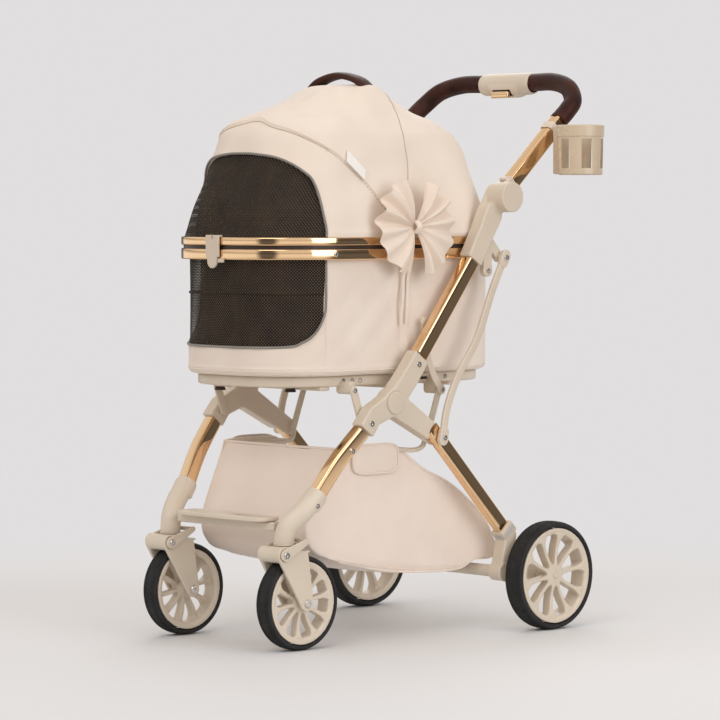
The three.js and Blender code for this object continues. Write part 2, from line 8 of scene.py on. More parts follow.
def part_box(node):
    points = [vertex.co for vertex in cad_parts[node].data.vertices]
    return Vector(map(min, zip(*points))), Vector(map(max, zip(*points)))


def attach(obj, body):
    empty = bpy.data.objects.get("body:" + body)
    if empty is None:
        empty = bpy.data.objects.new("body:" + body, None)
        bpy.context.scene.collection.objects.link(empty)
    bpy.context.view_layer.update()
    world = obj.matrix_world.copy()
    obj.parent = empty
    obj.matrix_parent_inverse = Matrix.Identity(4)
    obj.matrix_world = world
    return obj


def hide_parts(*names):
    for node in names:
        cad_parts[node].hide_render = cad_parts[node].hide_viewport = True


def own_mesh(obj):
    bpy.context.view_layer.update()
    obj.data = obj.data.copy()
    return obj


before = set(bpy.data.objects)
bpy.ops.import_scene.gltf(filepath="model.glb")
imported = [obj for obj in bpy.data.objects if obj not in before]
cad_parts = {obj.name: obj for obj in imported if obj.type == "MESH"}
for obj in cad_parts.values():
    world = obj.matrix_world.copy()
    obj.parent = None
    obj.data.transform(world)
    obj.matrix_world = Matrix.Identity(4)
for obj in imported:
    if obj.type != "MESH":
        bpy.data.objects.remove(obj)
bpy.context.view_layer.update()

# Sizes are in metres, about the stroller's own middle plane, and SHIFT carries them into the frame
TAU = 2 * math.pi
FRONT_R, REAR_R = 0.085, 0.1008
FRONT_X, REAR_X = 0.1555, 0.2515
FRONT_AXLE, REAR_AXLE = (-0.273, 0.0852), (0.273, 0.101)
STEM_Y, FORK_PIN = -0.304, (-0.327, 0.174)
HUB, FOLD_PIN, JOINT = (-0.091, 0.434), (0.023, 0.367), (0.186, 0.803)
HANDLE_TUBE = ((-0.023, 0.515), (0.110, 0.685))
FRONT_TUBE = ((-0.160, 0.387), (-0.248, 0.274))
REAR_TUBE_END, AXLE_BAR = (0.189, 0.194), (0.186, 0.110)
TAIL = (0.182, 0.692)
BRACE = (TAIL, (0.150, 0.632), (0.111, 0.545), (0.062, 0.478), (0.034, 0.420), FOLD_PIN)
SIDE_X, TUBE_W, TUBE_H = 0.205, 0.024, 0.029
HUB_IN, HUB_OUT = 0.1905, 0.218
GRIP_START = (0.345, 0.947)
POD_Y, RING_W, RING_L, RING_R = -0.028, 0.186, 0.303, 0.150
TUB_INSET, TUB_LOW, RING_LOW, RING_GAP_LOW = 0.013, 0.484, 0.691, 0.710
UPPER_LOW, UPPER_HIGH, LID_TOP = 0.7165, 0.731, 1.006


def middle(node):
    low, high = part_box(node)
    return (low + high) / 2


_left, _right = middle("front_left_tyre"), middle("front_right_tyre")
SHIFT = Vector(((_left.x + _right.x) / 2, _left.y - FRONT_AXLE[0], _left.z - FRONT_AXLE[1]))


# ---------------------------------------------------------------- hand tools

def deselect():
    if bpy.context.object and bpy.context.object.mode != "OBJECT":
        bpy.ops.object.mode_set(mode="OBJECT")
    bpy.ops.object.select_all(action="DESELECT")


def pick(piece):
    deselect()
    piece.select_set(True)
    bpy.context.view_layer.objects.active = piece
    return piece


def new(name):
    piece = bpy.context.active_object
    piece.name = piece.data.name = name
    return piece


def points(piece):
    co = np.empty(len(piece.data.vertices) * 3)
    piece.data.vertices.foreach_get("co", co)
    return co.reshape(-1, 3)


def put(piece, co):
    piece.data.vertices.foreach_set("co", np.asarray(co, float).ravel())
    piece.data.update()
    return piece


def modify(piece, kind, **settings):
    pick(piece)
    m = piece.modifiers.new(kind.title(), kind)
    for key, value in settings.items():
        setattr(m, key, value)
    bpy.ops.object.modifier_apply(modifier=m.name)
    return piece


def tidy_mesh(piece, close=False, merge=1e-6):
    pick(piece)
    bpy.ops.object.mode_set(mode="EDIT")
    bpy.ops.mesh.select_all(action="SELECT")
    bpy.ops.mesh.remove_doubles(threshold=merge)
    if close:
        bpy.ops.mesh.fill_holes(sides=0)
    bpy.ops.mesh.select_all(action="SELECT")
    bpy.ops.mesh.normals_make_consistent(inside=False)
    bpy.ops.object.mode_set(mode="OBJECT")
    return piece


def join(name, pieces):
    pick(pieces[0])
    for p in pieces[1:]:
        p.select_set(True)
    bpy.ops.object.join()
    return new(name)


def smooth(piece, angle=40):
    pick(piece)
    bpy.ops.object.shade_smooth_by_angle(angle=math.radians(angle))
    return piece


def moved(piece, x=0.0, y=0.0, z=0.0):
    return put(piece, points(piece) + np.array([x, y, z]))


def mirrored(piece, side):
    """The piece as it is on the left, or turned over to the right side."""
    if side > 0:
        return piece
    put(piece, points(piece) * np.array([-1, 1, 1]))
    pick(piece)
    bpy.ops.object.mode_set(mode="EDIT")
    bpy.ops.mesh.select_all(action="SELECT")
    bpy.ops.mesh.flip_normals()
    bpy.ops.object.mode_set(mode="OBJECT")
    return piece


def skin(name, across, along, point, close=False, uv=None):
    """A flat cut sheet wrapped onto a form: point(a, b) gives x, y, z for a and b from 0 to 1."""
    deselect()
    bpy.ops.mesh.primitive_grid_add(x_subdivisions=across, y_subdivisions=along, size=1)
    piece = new(name)
    flat = points(piece) + 0.5
    a, b = flat[:, 0], flat[:, 1]
    if uv:
        u, v = uv(a, b)
        loops = np.array([loop.vertex_index for loop in piece.data.loops])
        layer = piece.data.uv_layers[0]
        layer.data.foreach_set("uv", np.stack([u[loops], v[loops]], 1).ravel())
    put(piece, np.stack(np.broadcast_arrays(*point(a, b)), 1))
    return tidy_mesh(piece, close)


def plate(name, outline, low, high, bevel=0.0012, segments=3):
    """A flat outline in the y-z plane, as thick as low to high along x, with eased edges."""
    deselect()
    bpy.ops.mesh.primitive_circle_add(vertices=len(outline), fill_type="NGON")
    piece = new(name)
    put(piece, [(low, y, z) for y, z in outline])
    bpy.ops.object.mode_set(mode="EDIT")
    bpy.ops.mesh.select_all(action="SELECT")
    bpy.ops.mesh.extrude_region_move(TRANSFORM_OT_translate={"value": (high - low, 0, 0)})
    bpy.ops.mesh.select_all(action="SELECT")
    bpy.ops.mesh.normals_make_consistent(inside=False)
    bpy.ops.object.mode_set(mode="OBJECT")
    if bevel:
        modify(piece, "BEVEL", width=bevel, segments=segments, limit_method="ANGLE", angle_limit=0.6)
    return piece


def block(name, size, centre):
    deselect()
    bpy.ops.mesh.primitive_cube_add(size=1)
    piece = new(name)
    return put(piece, points(piece) * np.array(size) + np.array(centre))


def ring_points(centre, r, count=40):
    a = (np.arange(count) + 0.5) * TAU / count
    return [(centre[0] + r * math.cos(t), centre[1] + r * math.sin(t)) for t in a]


def wrap(*circles):
    """The smallest outline round several circles, each (centre, radius)."""
    pts = sorted(p for c, r in circles for p in ring_points(c, r))

    def chain(row):
        out = []
        for p in row:
            while len(out) > 1 and ((out[-1][0] - out[-2][0]) * (p[1] - out[-2][1])
                                    - (out[-1][1] - out[-2][1]) * (p[0] - out[-2][0])) <= 1e-12:
                out.pop()
            out.append(p)
        return out[:-1]

    return chain(pts) + chain(pts[::-1])


def toward(a, b, d):
    a, b = np.array(a, float), np.array(b, float)
    return tuple(a + (b - a) / np.linalg.norm(b - a) * d)


def arm(a, b, wide_a, wide_b):
    a, b = np.array(a, float), np.array(b, float)
    n = np.array([-(b - a)[1], (b - a)[0]]) / np.linalg.norm(b - a)
    off_a, off_b = n * wide_a / 2, n * wide_b / 2
    return [tuple(p) for p in (a - off_a, b - off_b, b + off_b, a + off_a)]


def casting(name, solids, cuts=(), voxel=0.0015, rounds=7, share=0.5):
    """Solids fused into one moulded piece with soft fillets, after the cuts are taken out."""
    piece = join(name, solids) if len(solids) > 1 else solids[0]
    modify(piece, "REMESH", mode="VOXEL", voxel_size=voxel)
    if cuts:
        tool = join("tool", list(cuts)) if len(cuts) > 1 else cuts[0]
        modify(piece, "BOOLEAN", operation="DIFFERENCE", solver="FAST", object=tool)
        bpy.data.objects.remove(tool)
        modify(piece, "REMESH", mode="VOXEL", voxel_size=voxel)
    modify(piece, "SMOOTH", factor=0.5, iterations=rounds)
    if share < 1:
        modify(piece, "DECIMATE", ratio=share)
    piece.name = name
    return smooth(piece, 60)


def course(stops, count):
    """A smooth line through the stops, as count evenly spaced points."""
    p = np.array(stops, float)
    p = np.vstack([2 * p[0] - p[1], p, 2 * p[-1] - p[-2]])
    t = np.linspace(0, 1, 24, endpoint=False)[:, None]
    runs = []
    for k in range(1, len(p) - 2):
        a, b, c, d = p[k - 1], p[k], p[k + 1], p[k + 2]
        runs.append(0.5 * (2 * b + (c - a) * t + (2 * a - 5 * b + 4 * c - d) * t ** 2
                           + (3 * b - a - 3 * c + d) * t ** 3))
    line = np.vstack(runs + [p[-2:-1]])
    reach = np.concatenate([[0], np.cumsum(np.linalg.norm(np.diff(line, axis=0), axis=1))])
    at = np.linspace(0, reach[-1], count)
    return np.stack([np.interp(at, reach, line[:, k]) for k in range(3)], 1)


def sweep(name, stops, wide, high, around=36, along=60, side=(1, 0, 0), power=2.0, swell=None, closed=False):
    """A bar of rounded section along the stops. power 2 is an ellipse, and more is squarer."""
    line = course(stops, along + 1)
    if closed:
        line[-1] = line[0]
        t = np.roll(line[:-1], -1, 0) - np.roll(line[:-1], 1, 0)
        t = np.vstack([t, t[:1]])
    else:
        t = np.gradient(line, axis=0)
    t /= np.linalg.norm(t, axis=1)[:, None]
    s = np.array(side, float) - t * (t @ np.array(side, float))[:, None]
    s /= np.linalg.norm(s, axis=1)[:, None]
    n = np.cross(t, s)
    length = np.linalg.norm(np.diff(line, axis=0), axis=1).sum()

    def point(a, b):
        k = np.rint(b * along).astype(int)
        c, q = np.cos(TAU * a), np.sin(TAU * a)
        grow = swell(b) if swell else 1.0
        x = wide / 2 * np.sign(c) * np.abs(c) ** (2 / power) * grow
        y = high / 2 * np.sign(q) * np.abs(q) ** (2 / power) * grow
        return tuple((line[k] + s[k] * x[:, None] + n[k] * y[:, None]).T)

    piece = skin(name, around, along, point, close=not closed,
                 uv=lambda a, b: (a * (wide + high) * 1.57, b * length))
    return smooth(piece, 50)


def turned(name, profile, centre, steps=64):
    """A closed profile of (radius, x) spun about an axle along x, centre being (x, y, z)."""
    deselect()
    bpy.ops.mesh.primitive_circle_add(vertices=len(profile), fill_type="NOTHING")
    piece = new(name)
    put(piece, [(x, max(r, 0.0), 0) for r, x in profile])
    bpy.ops.object.mode_set(mode="EDIT")
    bpy.ops.mesh.select_all(action="SELECT")
    bpy.ops.mesh.spin(steps=steps, angle=TAU, center=(0, 0, 0), axis=(1, 0, 0))
    bpy.ops.object.mode_set(mode="OBJECT")
    tidy_mesh(piece, merge=1e-5)
    return moved(piece, *centre)


def upright(piece, x, y, z):
    """Turns a piece made about the x axis to stand about z, then sets it at x, y, z."""
    co = points(piece)
    return put(piece, np.stack([co[:, 1] + x, co[:, 2] + y, co[:, 0] + z], 1))


def bolt(name, centre, side, r=0.0055, proud=0.003):
    """A socket-headed bolt on a face towards side * x, centre being its (x, y, z) on that face."""
    head = [(0, proud * 0.35), (r * 0.42, proud * 0.35), (r * 0.5, proud), (r * 0.85, proud),
            (r, proud * 0.6), (r, -0.001), (0, -0.001)]
    piece = turned(name, head, (0, 0, 0), 24)
    return moved(mirrored(smooth(piece, 35), side), *centre)


def keep(piece, body, slot, finish, *nodes):
    """Moves the finished piece into the frame, gives it its finish and lets it ride on its body."""
    piece.data.transform(Matrix.Translation(SHIFT))
    piece.data.materials.clear()
    piece.data.materials.append(finish)
    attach(piece, body)
    if nodes:
        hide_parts(*nodes)
    return piece


# ---------------------------------------------------------------- finishes

def tone(r, g, b):
    """A colour given as it looks on a screen, from 0 to 255."""
    def linear(c):
        return (c / 255) / 12.92 if c <= 10 else ((c / 255 + 0.055) / 1.055) ** 2.4

    return linear(r), linear(g), linear(b), 1.0


class Finish:
    """A material made of nodes, with short ways to add the usual ones."""

    def __init__(self, name, **sockets):
        self.made = bpy.data.materials.new(name)
        self.made.use_nodes = True
        self.nodes, self.links = self.made.node_tree.nodes, self.made.node_tree.links
        self.shader = self.nodes["Principled BSDF"]
        for key, value in sockets.items():
            self.shader.inputs[key.replace("_", " ").title().replace("Ior", "IOR")].default_value = value
        self.where = self.nodes.new("ShaderNodeTexCoord")

    def add(self, kind, **inputs):
        node = self.nodes.new("ShaderNode" + kind)
        for key, value in inputs.items():
            if hasattr(node, key):
                setattr(node, key, value)
            else:
                node.inputs[key.replace("_", " ")].default_value = value
        return node

    def link(self, source, out, target, into):
        self.links.new(source.outputs[out], target.inputs[into])

    def noise(self, scale, detail=3.0, stretch=None, where="Object"):
        node = self.add("TexNoise", Scale=scale, Detail=detail)
        if stretch:
            mapping = self.add("Mapping", Scale=stretch)
            self.link(self.where, where, mapping, "Vector")
            self.link(mapping, "Vector", node, "Vector")
        else:
            self.link(self.where, where, node, "Vector")
        return node

    def shades(self, source, dark, light, low=0.3, high=0.7):
        ramp = self.add("ValToRGB")
        ramp.color_ramp.elements[0].position, ramp.color_ramp.elements[0].color = low, dark
        ramp.color_ramp.elements[1].position, ramp.color_ramp.elements[1].color = high, light
        self.link(source, 0, ramp, "Fac")
        self.link(ramp, "Color", self.shader, "Base Color")
        return ramp

    def rough(self, source, low, high):
        spread = self.add("MapRange", To_Min=low, To_Max=high)
        self.link(source, 0, spread, "Value")
        self.link(spread, "Result", self.shader, "Roughness")

    def bump(self, *layers):
        """Each layer is (height source, strength, depth in metres)."""
        below = None
        for source, strength, depth in layers:
            node = self.add("Bump", Strength=strength, Distance=depth)
            self.link(source, 0, node, "Height")
            if below:
                self.link(below, "Normal", node, "Normal")
            below = node
        self.link(below, "Normal", self.shader, "Normal")


def weave(finish, pitch, where="UV"):
    """Crossed threads, as one height."""
    height = None
    for axis in ("X", "Y"):
        wave = finish.add("TexWave", Scale=0.314 / pitch, Distortion=0.4)
        wave.bands_direction = axis
        wave.inputs["Detail Scale"].default_value = 40
        finish.link(finish.where, where, wave, "Vector")
        if height is None:
            height = wave
        else:
            both = finish.add("Math", operation="MULTIPLY")
            finish.link(height, "Fac", both, 0)
            finish.link(wave, "Fac", both, 1)
            height = both
    return height


def cream_cloth(name, light, dark, pitch=0.0011, where="UV"):
    f = Finish(name, roughness=0.85, sheen_weight=0.25, sheen_roughness=0.4)
    f.shades(f.noise(9, 6), dark, light, 0.25, 0.75)
    f.rough(f.noise(60, 3), 0.78, 0.95)
    creases, fibres, threads = f.noise(14, 4), f.noise(900, 2), weave(f, pitch, where)
    f.bump((creases, 0.25, 0.004), (fibres, 0.15, 0.0003), (threads, 0.35, 0.0003))
    return f.made


def moulded(name, light, dark, rough=(0.34, 0.48), grain=1400, coat=0.08):
    f = Finish(name, coat_weight=coat, coat_roughness=0.3, specular_ior_level=0.45)
    f.shades(f.noise(7, 4), dark, light)
    f.rough(f.noise(35, 4), *rough)
    f.bump((f.noise(grain, 2), 0.12, 0.0002), (f.noise(18, 2), 0.06, 0.002))
    return f.made


def polished(name, light, dark, rough=(0.07, 0.13)):
    f = Finish(name, metallic=1.0)
    f.shades(f.noise(6, 3), dark, light, 0.2, 0.8)
    f.rough(f.noise(90, 5, (1, 1, 0.2)), *rough)
    f.bump((f.noise(12, 2), 0.02, 0.002))
    return f.made


def hide(name):
    f = Finish(name, specular_ior_level=0.22)
    f.shades(f.noise(24, 6), tone(40, 14, 8), tone(76, 38, 27), 0.35, 0.75)
    grain = f.add("TexVoronoi", Scale=620)
    f.link(f.where, "Object", grain, "Vector")
    f.rough(f.noise(60, 4), 0.38, 0.55)
    f.bump((grain, 0.35, 0.0004), (f.noise(200, 4), 0.2, 0.0005))
    return f.made


def tyre_rubber():
    f = Finish("tyre_rubber_finish", specular_ior_level=0.35)
    f.shades(f.noise(30, 5), tone(24, 24, 25), tone(44, 44, 45))
    f.rough(f.noise(120, 4), 0.55, 0.75)
    f.bump((f.noise(700, 3), 0.2, 0.0003))
    return f.made


def netting():
    """Knitted pet mesh: a dark net with rows of small round holes set cornerwise."""
    f = Finish("window_mesh_finish", roughness=0.7, specular_ior_level=0.3)
    f.shades(f.noise(25, 3), tone(36, 28, 19), tone(54, 43, 29))
    turn = f.add("Mapping", Scale=(1 / 0.0042,) * 3, Rotation=(0, 0, math.radians(45)))
    f.link(f.where, "UV", turn, "Vector")
    cell = f.add("VectorMath", operation="FRACTION")
    f.link(turn, "Vector", cell, 0)
    off = f.add("VectorMath", operation="SUBTRACT")
    off.inputs[1].default_value = (0.5, 0.5, 0.5)
    f.link(cell, "Vector", off, 0)
    flat = f.add("VectorMath", operation="MULTIPLY")
    flat.inputs[1].default_value = (1, 1, 0)
    f.link(off, "Vector", flat, 0)
    away = f.add("VectorMath", operation="LENGTH")
    f.link(flat, "Vector", away, 0)
    solid = f.add("MapRange", From_Min=0.16, From_Max=0.25)
    f.link(away, "Value", solid, "Value")
    f.link(solid, "Result", f.shader, "Alpha")
    f.rough(f.noise(300, 2), 0.6, 0.8)
    bump = f.add("Bump", Strength=0.5, Distance=0.0005)
    f.link(away, "Value", bump, "Height")
    f.link(bump, "Normal", f.shader, "Normal")
    return f.made


CLOTH = cream_cloth("cream_cloth_finish", tone(240, 228, 217), tone(231, 216, 203))
LID_CLOTH = cream_cloth("lid_cloth_finish", tone(242, 230, 218), tone(234, 219, 205))
BASKET_CLOTH = cream_cloth("basket_cloth_finish", tone(243, 229, 218), tone(234, 218, 205), 0.0014)
RIBBON = cream_cloth("ribbon_finish", tone(243, 229, 216), tone(233, 216, 200), 0.0008)
TAG = cream_cloth("tag_finish", tone(250, 248, 245), tone(242, 239, 235), 0.0006)
LINING = cream_cloth("cushion_finish", tone(222, 204, 186), tone(206, 188, 170), 0.0016, "Object")
# Darker cloth for the seam lines: painted shade, standing in for the fine shadow along the back seams and
# under the visor's edge.
SEAM_SHADE = cream_cloth("seam_shade_finish", tone(205, 184, 163), tone(192, 170, 150), 0.0008)
PIPING = cream_cloth("piping_finish", tone(150, 146, 140), tone(128, 124, 118), 0.0008)
BEIGE = moulded("beige_plastic_finish", tone(220, 207, 190), tone(210, 197, 179))
PALE = moulded("pale_band_finish", tone(206, 202, 196), tone(190, 186, 180))
CUP = moulded("cup_plastic_finish", tone(206, 189, 165), tone(194, 176, 152), (0.2, 0.34))
DARK = moulded("dark_plastic_finish", tone(60, 44, 36), tone(46, 34, 28))
GOLD = polished("gold_metal_finish", tone(245, 212, 172), tone(236, 198, 152))
CHROME = polished("chrome_finish", tone(225, 224, 222), tone(205, 204, 202), (0.08, 0.2))
STEEL = polished("spring_steel_finish", tone(190, 190, 190), tone(160, 160, 160), (0.2, 0.35))
LEATHER = hide("brown_leather_finish")
RUBBER = tyre_rubber()
NET = netting()


# ---------------------------------------------------------------- stage, light and camera

def make_stage():
    backdrop = tone(225, 223, 223)
    deselect()
    bpy.ops.mesh.primitive_circle_add(vertices=96, radius=40, fill_type="NGON")
    floor = new("floor")
    f = Finish("floor_finish", roughness=0.8)
    f.shader.inputs["Base Color"].default_value = tone(226, 227, 229)
    away = f.add("VectorMath", operation="LENGTH")
    f.link(f.where, "Object", away, 0)
    fade = f.add("MapRange", From_Min=0.75, From_Max=1.9, interpolation_type="SMOOTHSTEP")
    f.link(away, "Value", fade, "Value")
    glow = f.add("Emission", Color=backdrop)
    both = f.add("MixShader")
    clear, seen, far_off = f.add("BsdfTransparent"), f.add("LightPath"), f.add("MixShader")
    f.link(seen, "Is Camera Ray", far_off, 0)
    f.link(clear, 0, far_off, 1)
    f.link(glow, 0, far_off, 2)
    f.link(fade, "Result", both, 0)
    f.link(f.shader, 0, both, 1)
    f.link(far_off, 0, both, 2)
    f.link(both, 0, f.nodes["Material Output"], 0)
    floor.data.materials.append(f.made)

    world = bpy.data.worlds.new("studio")
    bpy.context.scene.world = world
    world.use_nodes = True
    nodes, links = world.node_tree.nodes, world.node_tree.links
    nodes.clear()
    out = nodes.new("ShaderNodeOutputWorld")
    plain, studio = nodes.new("ShaderNodeBackground"), nodes.new("ShaderNodeBackground")
    pick_one = nodes.new("ShaderNodeMixShader")
    plain.inputs[0].default_value = backdrop
    where, split = nodes.new("ShaderNodeTexCoord"), nodes.new("ShaderNodeSeparateXYZ")
    ramp = nodes.new("ShaderNodeValToRGB")
    links.new(where.outputs["Generated"], split.inputs[0])
    marks = [(0.0, 0.36), (0.40, 0.5), (0.455, 0.95), (0.50, 1.0), (0.515, 0.35), (0.54, 0.95), (0.62, 0.3),
             (0.66, 0.9), (0.83, 0.8), (1.0, 0.6)]
    for at, level in marks[1:-1]:
        ramp.color_ramp.elements.new(at)
    for element, (at, level) in zip(ramp.color_ramp.elements, marks):
        warm = 0.97 if level > 0.6 else 0.82
        element.position, element.color = at, (level, level * warm, level * warm ** 2, 1)
    lift = nodes.new("ShaderNodeMapRange")
    lift.inputs["From Min"].default_value = -1
    links.new(split.outputs["Z"], lift.inputs["Value"])
    links.new(lift.outputs[0], ramp.inputs[0])
    links.new(ramp.outputs[0], studio.inputs[0])
    strength = None
    dark_walls = (((0.74, 0.67), 0.80, 0.93), ((0.28, -0.96), 0.955, 0.985), ((-0.82, 0.57), 0.9, 0.97))
    for (x, y), start, end in dark_walls:
        near = nodes.new("ShaderNodeVectorMath")
        near.operation = "DOT_PRODUCT"
        near.inputs[1].default_value = (x, y, 0)
        links.new(where.outputs["Generated"], near.inputs[0])
        dark = nodes.new("ShaderNodeMapRange")
        for key, value in (("From Min", start), ("From Max", end), ("To Min", 1.0), ("To Max", 0.14)):
            dark.inputs[key].default_value = value
        links.new(near.outputs["Value"], dark.inputs["Value"])
        if strength is None:
            strength = dark
        else:
            both = nodes.new("ShaderNodeMath")
            both.operation = "MINIMUM"
            links.new(strength.outputs[0], both.inputs[0])
            links.new(dark.outputs[0], both.inputs[1])
            strength = both
    links.new(strength.outputs[0], studio.inputs[1])
    ray = nodes.new("ShaderNodeLightPath")
    links.new(ray.outputs["Is Camera Ray"], pick_one.inputs[0])
    links.new(studio.outputs[0], pick_one.inputs[1])
    links.new(plain.outputs[0], pick_one.inputs[2])
    links.new(pick_one.outputs[0], out.inputs[0])


def make_light(name, place, aim, size, watts, colour=(1, 1, 1)):
    deselect()
    bpy.ops.object.light_add(type="AREA", location=place)
    lamp = new(name)
    lamp.data.shape, lamp.data.size, lamp.data.energy, lamp.data.color = "SQUARE", size, watts, colour
    lamp.rotation_euler = (Vector(aim) - Vector(place)).to_track_quat("-Z", "Y").to_euler()
    lamp.visible_camera = False


def make_camera():
    deselect()
    bpy.ops.object.camera_add(location=Vector((4.603, -4.297, 0.788)) + SHIFT)
    camera = new("camera")
    camera.rotation_euler = Vector((-0.7282, 0.6839, -0.0455)).to_track_quat("-Z", "Y").to_euler()
    camera.data.lens, camera.data.sensor_width = 169.95, 36
    camera.data.clip_end = 200
    bpy.context.scene.camera = camera


make_stage()
make_light("key", (1.2, -3.4, 3.2), (0, 0, 0.6), 2.6, 38, (1, 0.985, 0.965))
make_light("fill", (3.8, 0.2, 1.7), (0, 0, 0.5), 2.6, 50, (0.99, 0.99, 1))
make_light("back", (-2.6, 2.6, 2.8), (0, 0, 0.6), 2.4, 30)
make_light("top", (0, 0, 4.0), (0, 0, 0), 3.0, 9)
make_camera()
bpy.context.scene.view_settings.view_transform = "Standard"


# ---------------------------------------------------------------- the pod's form

def half_outline(inset):
    w, l, r = RING_W - inset, RING_L - inset, RING_R - inset
    t = np.linspace(0, math.pi / 2, 60)
    x = np.concatenate([[0], (w - r) + r * np.sin(t), (w - r) + r * np.cos(t), [0]])
    y = np.concatenate([[-l], -(l - r) - r * np.cos(t), (l - r) + r * np.sin(t), [l]])
    return x, y, np.concatenate([[0], np.cumsum(np.hypot(np.diff(x), np.diff(y)))])


def outline(u, inset=0.0):
    """Round the pod: u is 0 in front and 1 behind, by the left side, and less than 0 by the right."""
    x, y, reach = half_outline(inset)
    a = np.abs(u) * reach[-1]
    return np.sign(u) * np.interp(a, reach, x), POD_Y + np.interp(a, reach, y)


HALF_ROUND = half_outline(0.003)[2][-1]
LID_LOW = 0.7313
# How far up the canopy, then how much of the pod's outline is left in front and behind
DOME = [(0, 1, 1), (0.1, 0.965, 0.99), (0.2, 0.925, 0.96), (0.34, 0.865, 0.91), (0.45, 0.815, 0.875),
        (0.556, 0.768, 0.837), (0.66, 0.732, 0.777), (0.71, 0.695, 0.72), (0.76, 0.63, 0.643),
        (0.815, 0.5, 0.51),
        (0.865, 0.375, 0.43), (0.91, 0.285, 0.365), (0.95, 0.205, 0.31), (0.985, 0.12, 0.2), (1, 0, 0)]
DOME_LINE = course(DOME, 400)
# Edges on the canopy and tub, as (u, height) with the canopy's height from 0 to 1 and the tub's in metres
VISOR = [(0, 0.763), (0.014, 0.7625), (0.035, 0.757), (0.1, 0.722), (0.173, 0.672), (0.268, 0.575),
         (0.323, 0.488), (0.381, 0.385),
         (0.435, 0.235), (0.47, 0.12), (0.5, 0), (1, -1)]
BACK_SEAM = [(0, 0.506), (0.196, 0.518), (0.48, 0.549), (0.68, 0.562), (0.80, 0.60), (0.87, 0.63),
             (1.0, 0.70)]
LID_WINDOW = [(0, 0.543), (0.047, 0.54), (0.118, 0.519), (0.166, 0.48), (0.207, 0.422), (0.233, 0.364),
              (0.255, 0.241), (0.264, 0.113), (0.268, 0.036), (0.2685, 0)]
TUB_WINDOW = [(0, 0.535), (0.173, 0.5365), (0.214, 0.545), (0.236, 0.556), (0.251, 0.57), (0.263, 0.590),
              (0.268, 0.612), (0.2685, 0.70)]
WINDOW_U = 0.2685


def eased(x):
    x = np.clip(x, 0, 1)
    return x * x * (3 - 2 * x)


def along_edge(edge, count=600):
    line = course([(u, h, 0) for u, h in edge], count)
    return line[:, 0], line[:, 1]


def both_sides(edge, count):
    """The whole edge, from its right end over the front to its left end."""
    u, height = along_edge(edge, count)
    return np.concatenate([-u[::-1], u[1:]]), np.concatenate([height[::-1], height[1:]])


def edge_height(edge, u, beyond):
    eu, eh = along_edge(edge)
    order = np.argsort(eu)
    return np.where(np.abs(u) < edge[-1][0], np.interp(np.abs(u), eu[order], eh[order]), beyond)


def dome(u, t, out=0.0):
    """A point on the canopy, pushed outwards by out."""
    def bare(u, t):
        x, y = outline(u, 0.003)
        t = np.clip(t, 0, 1)
        front, rear = (np.interp(t, DOME_LINE[:, 0], DOME_LINE[:, k]) for k in (1, 2))
        share = front + (rear - front) * eased((y - POD_Y) / 0.3 + 0.5)
        wide = (front + rear) / 2
        lean = 0.009 * eased(t / 0.25)
        x, y, z = x * wide, POD_Y - lean + (y - POD_Y) * share, LID_LOW + t * (LID_TOP - LID_LOW)
        crest = eased((0.128 - np.abs(x)) / 0.052) * eased((y + 0.115) / 0.09) * eased((0.07 - y) / 0.094)
        return np.stack([x, y, z + np.maximum(1.0062 - 0.25 * x ** 2 - z, 0) * crest], -1)

    p, e = bare(u, t), 0.004
    across = bare(u + e, t) - bare(u - e, t)
    up = bare(u, np.clip(t + e, 0, 1)) - bare(u, np.clip(t - e, 0, 1))
    n = np.cross(across, up)
    n /= np.linalg.norm(n, axis=-1)[..., None] + 1e-12
    high = eased((t - 0.93) / 0.05)[..., None]
    n = n * (1 - high) + np.array([0, 0, 1.0]) * high
    return p + n * np.asarray(out)[..., None]


def tub_wall(u, z, out=0.0):
    x, y = outline(u, TUB_INSET)
    ox, oy = outline(u, TUB_INSET - 0.05)
    n = np.stack([ox - x, oy - y], -1)
    n /= np.linalg.norm(n, axis=-1)[..., None]
    p = np.stack([x, y], -1) + n * np.asarray(out)[..., None]
    return np.stack([p[..., 0], p[..., 1], np.broadcast_to(z, x.shape)], -1)


def window_spacing(a):
    """Walks u from -1 to 1 with finer steps near the upright sides of the window."""
    return np.interp(a, (0, 0.27, 0.39, 0.61, 0.73, 1), (-1, -0.285, -0.2, 0.2, 0.285, 1))


def lid_relief(u, t):
    """How the canopy's cloth stands off its form: the visor's edge, the seam behind it and soft dimples."""
    step = 0.0028 * eased((t - edge_height(VISOR, u, -1)) / 0.016 + 0.5)
    seam_u = np.interp(t, *zip(*BACK_SEAM))
    away = (np.abs(u) - seam_u) * HALF_ROUND
    seam = -0.0010 * np.exp(-(away / 0.0040) ** 2) + 0.0004 * np.exp(-((away - 0.006) / 0.004) ** 2)
    edge = t - edge_height(VISOR, u, -1)
    tuck = -0.0012 * np.exp(-((edge + 0.012) / 0.010) ** 2)
    soft = 0.0012 * (np.sin(u * 31 + 3 * t) * np.sin(t * 9 + u * 11) + 0.6 * np.sin(u * 17 - t * 21))
    soft *= eased(t / 0.15) * eased((1 - t) / 0.12)
    hem = 0.0010 * np.exp(-((t - 0.028) / 0.012) ** 2)
    return step + seam + tuck + soft + hem


def tub_relief(u, z):
    drop = eased((0.70 - z) / 0.1) * eased((z - 0.49) / 0.06)
    fold = 0.0035 * np.exp(-((np.abs(u) - 0.506) / 0.007) ** 2) - 0.003 * np.exp(
        -((np.abs(u) - 0.493) / 0.007) ** 2)
    waves = 0.0013 * np.sin(u * 37 + 2) * np.sin(z * 40) + 0.0009 * np.sin(u * 71 - z * 90)
    hem = 0.0012 * np.exp(-((z - 0.497) / 0.003) ** 2)
    return (fold + waves) * drop + hem


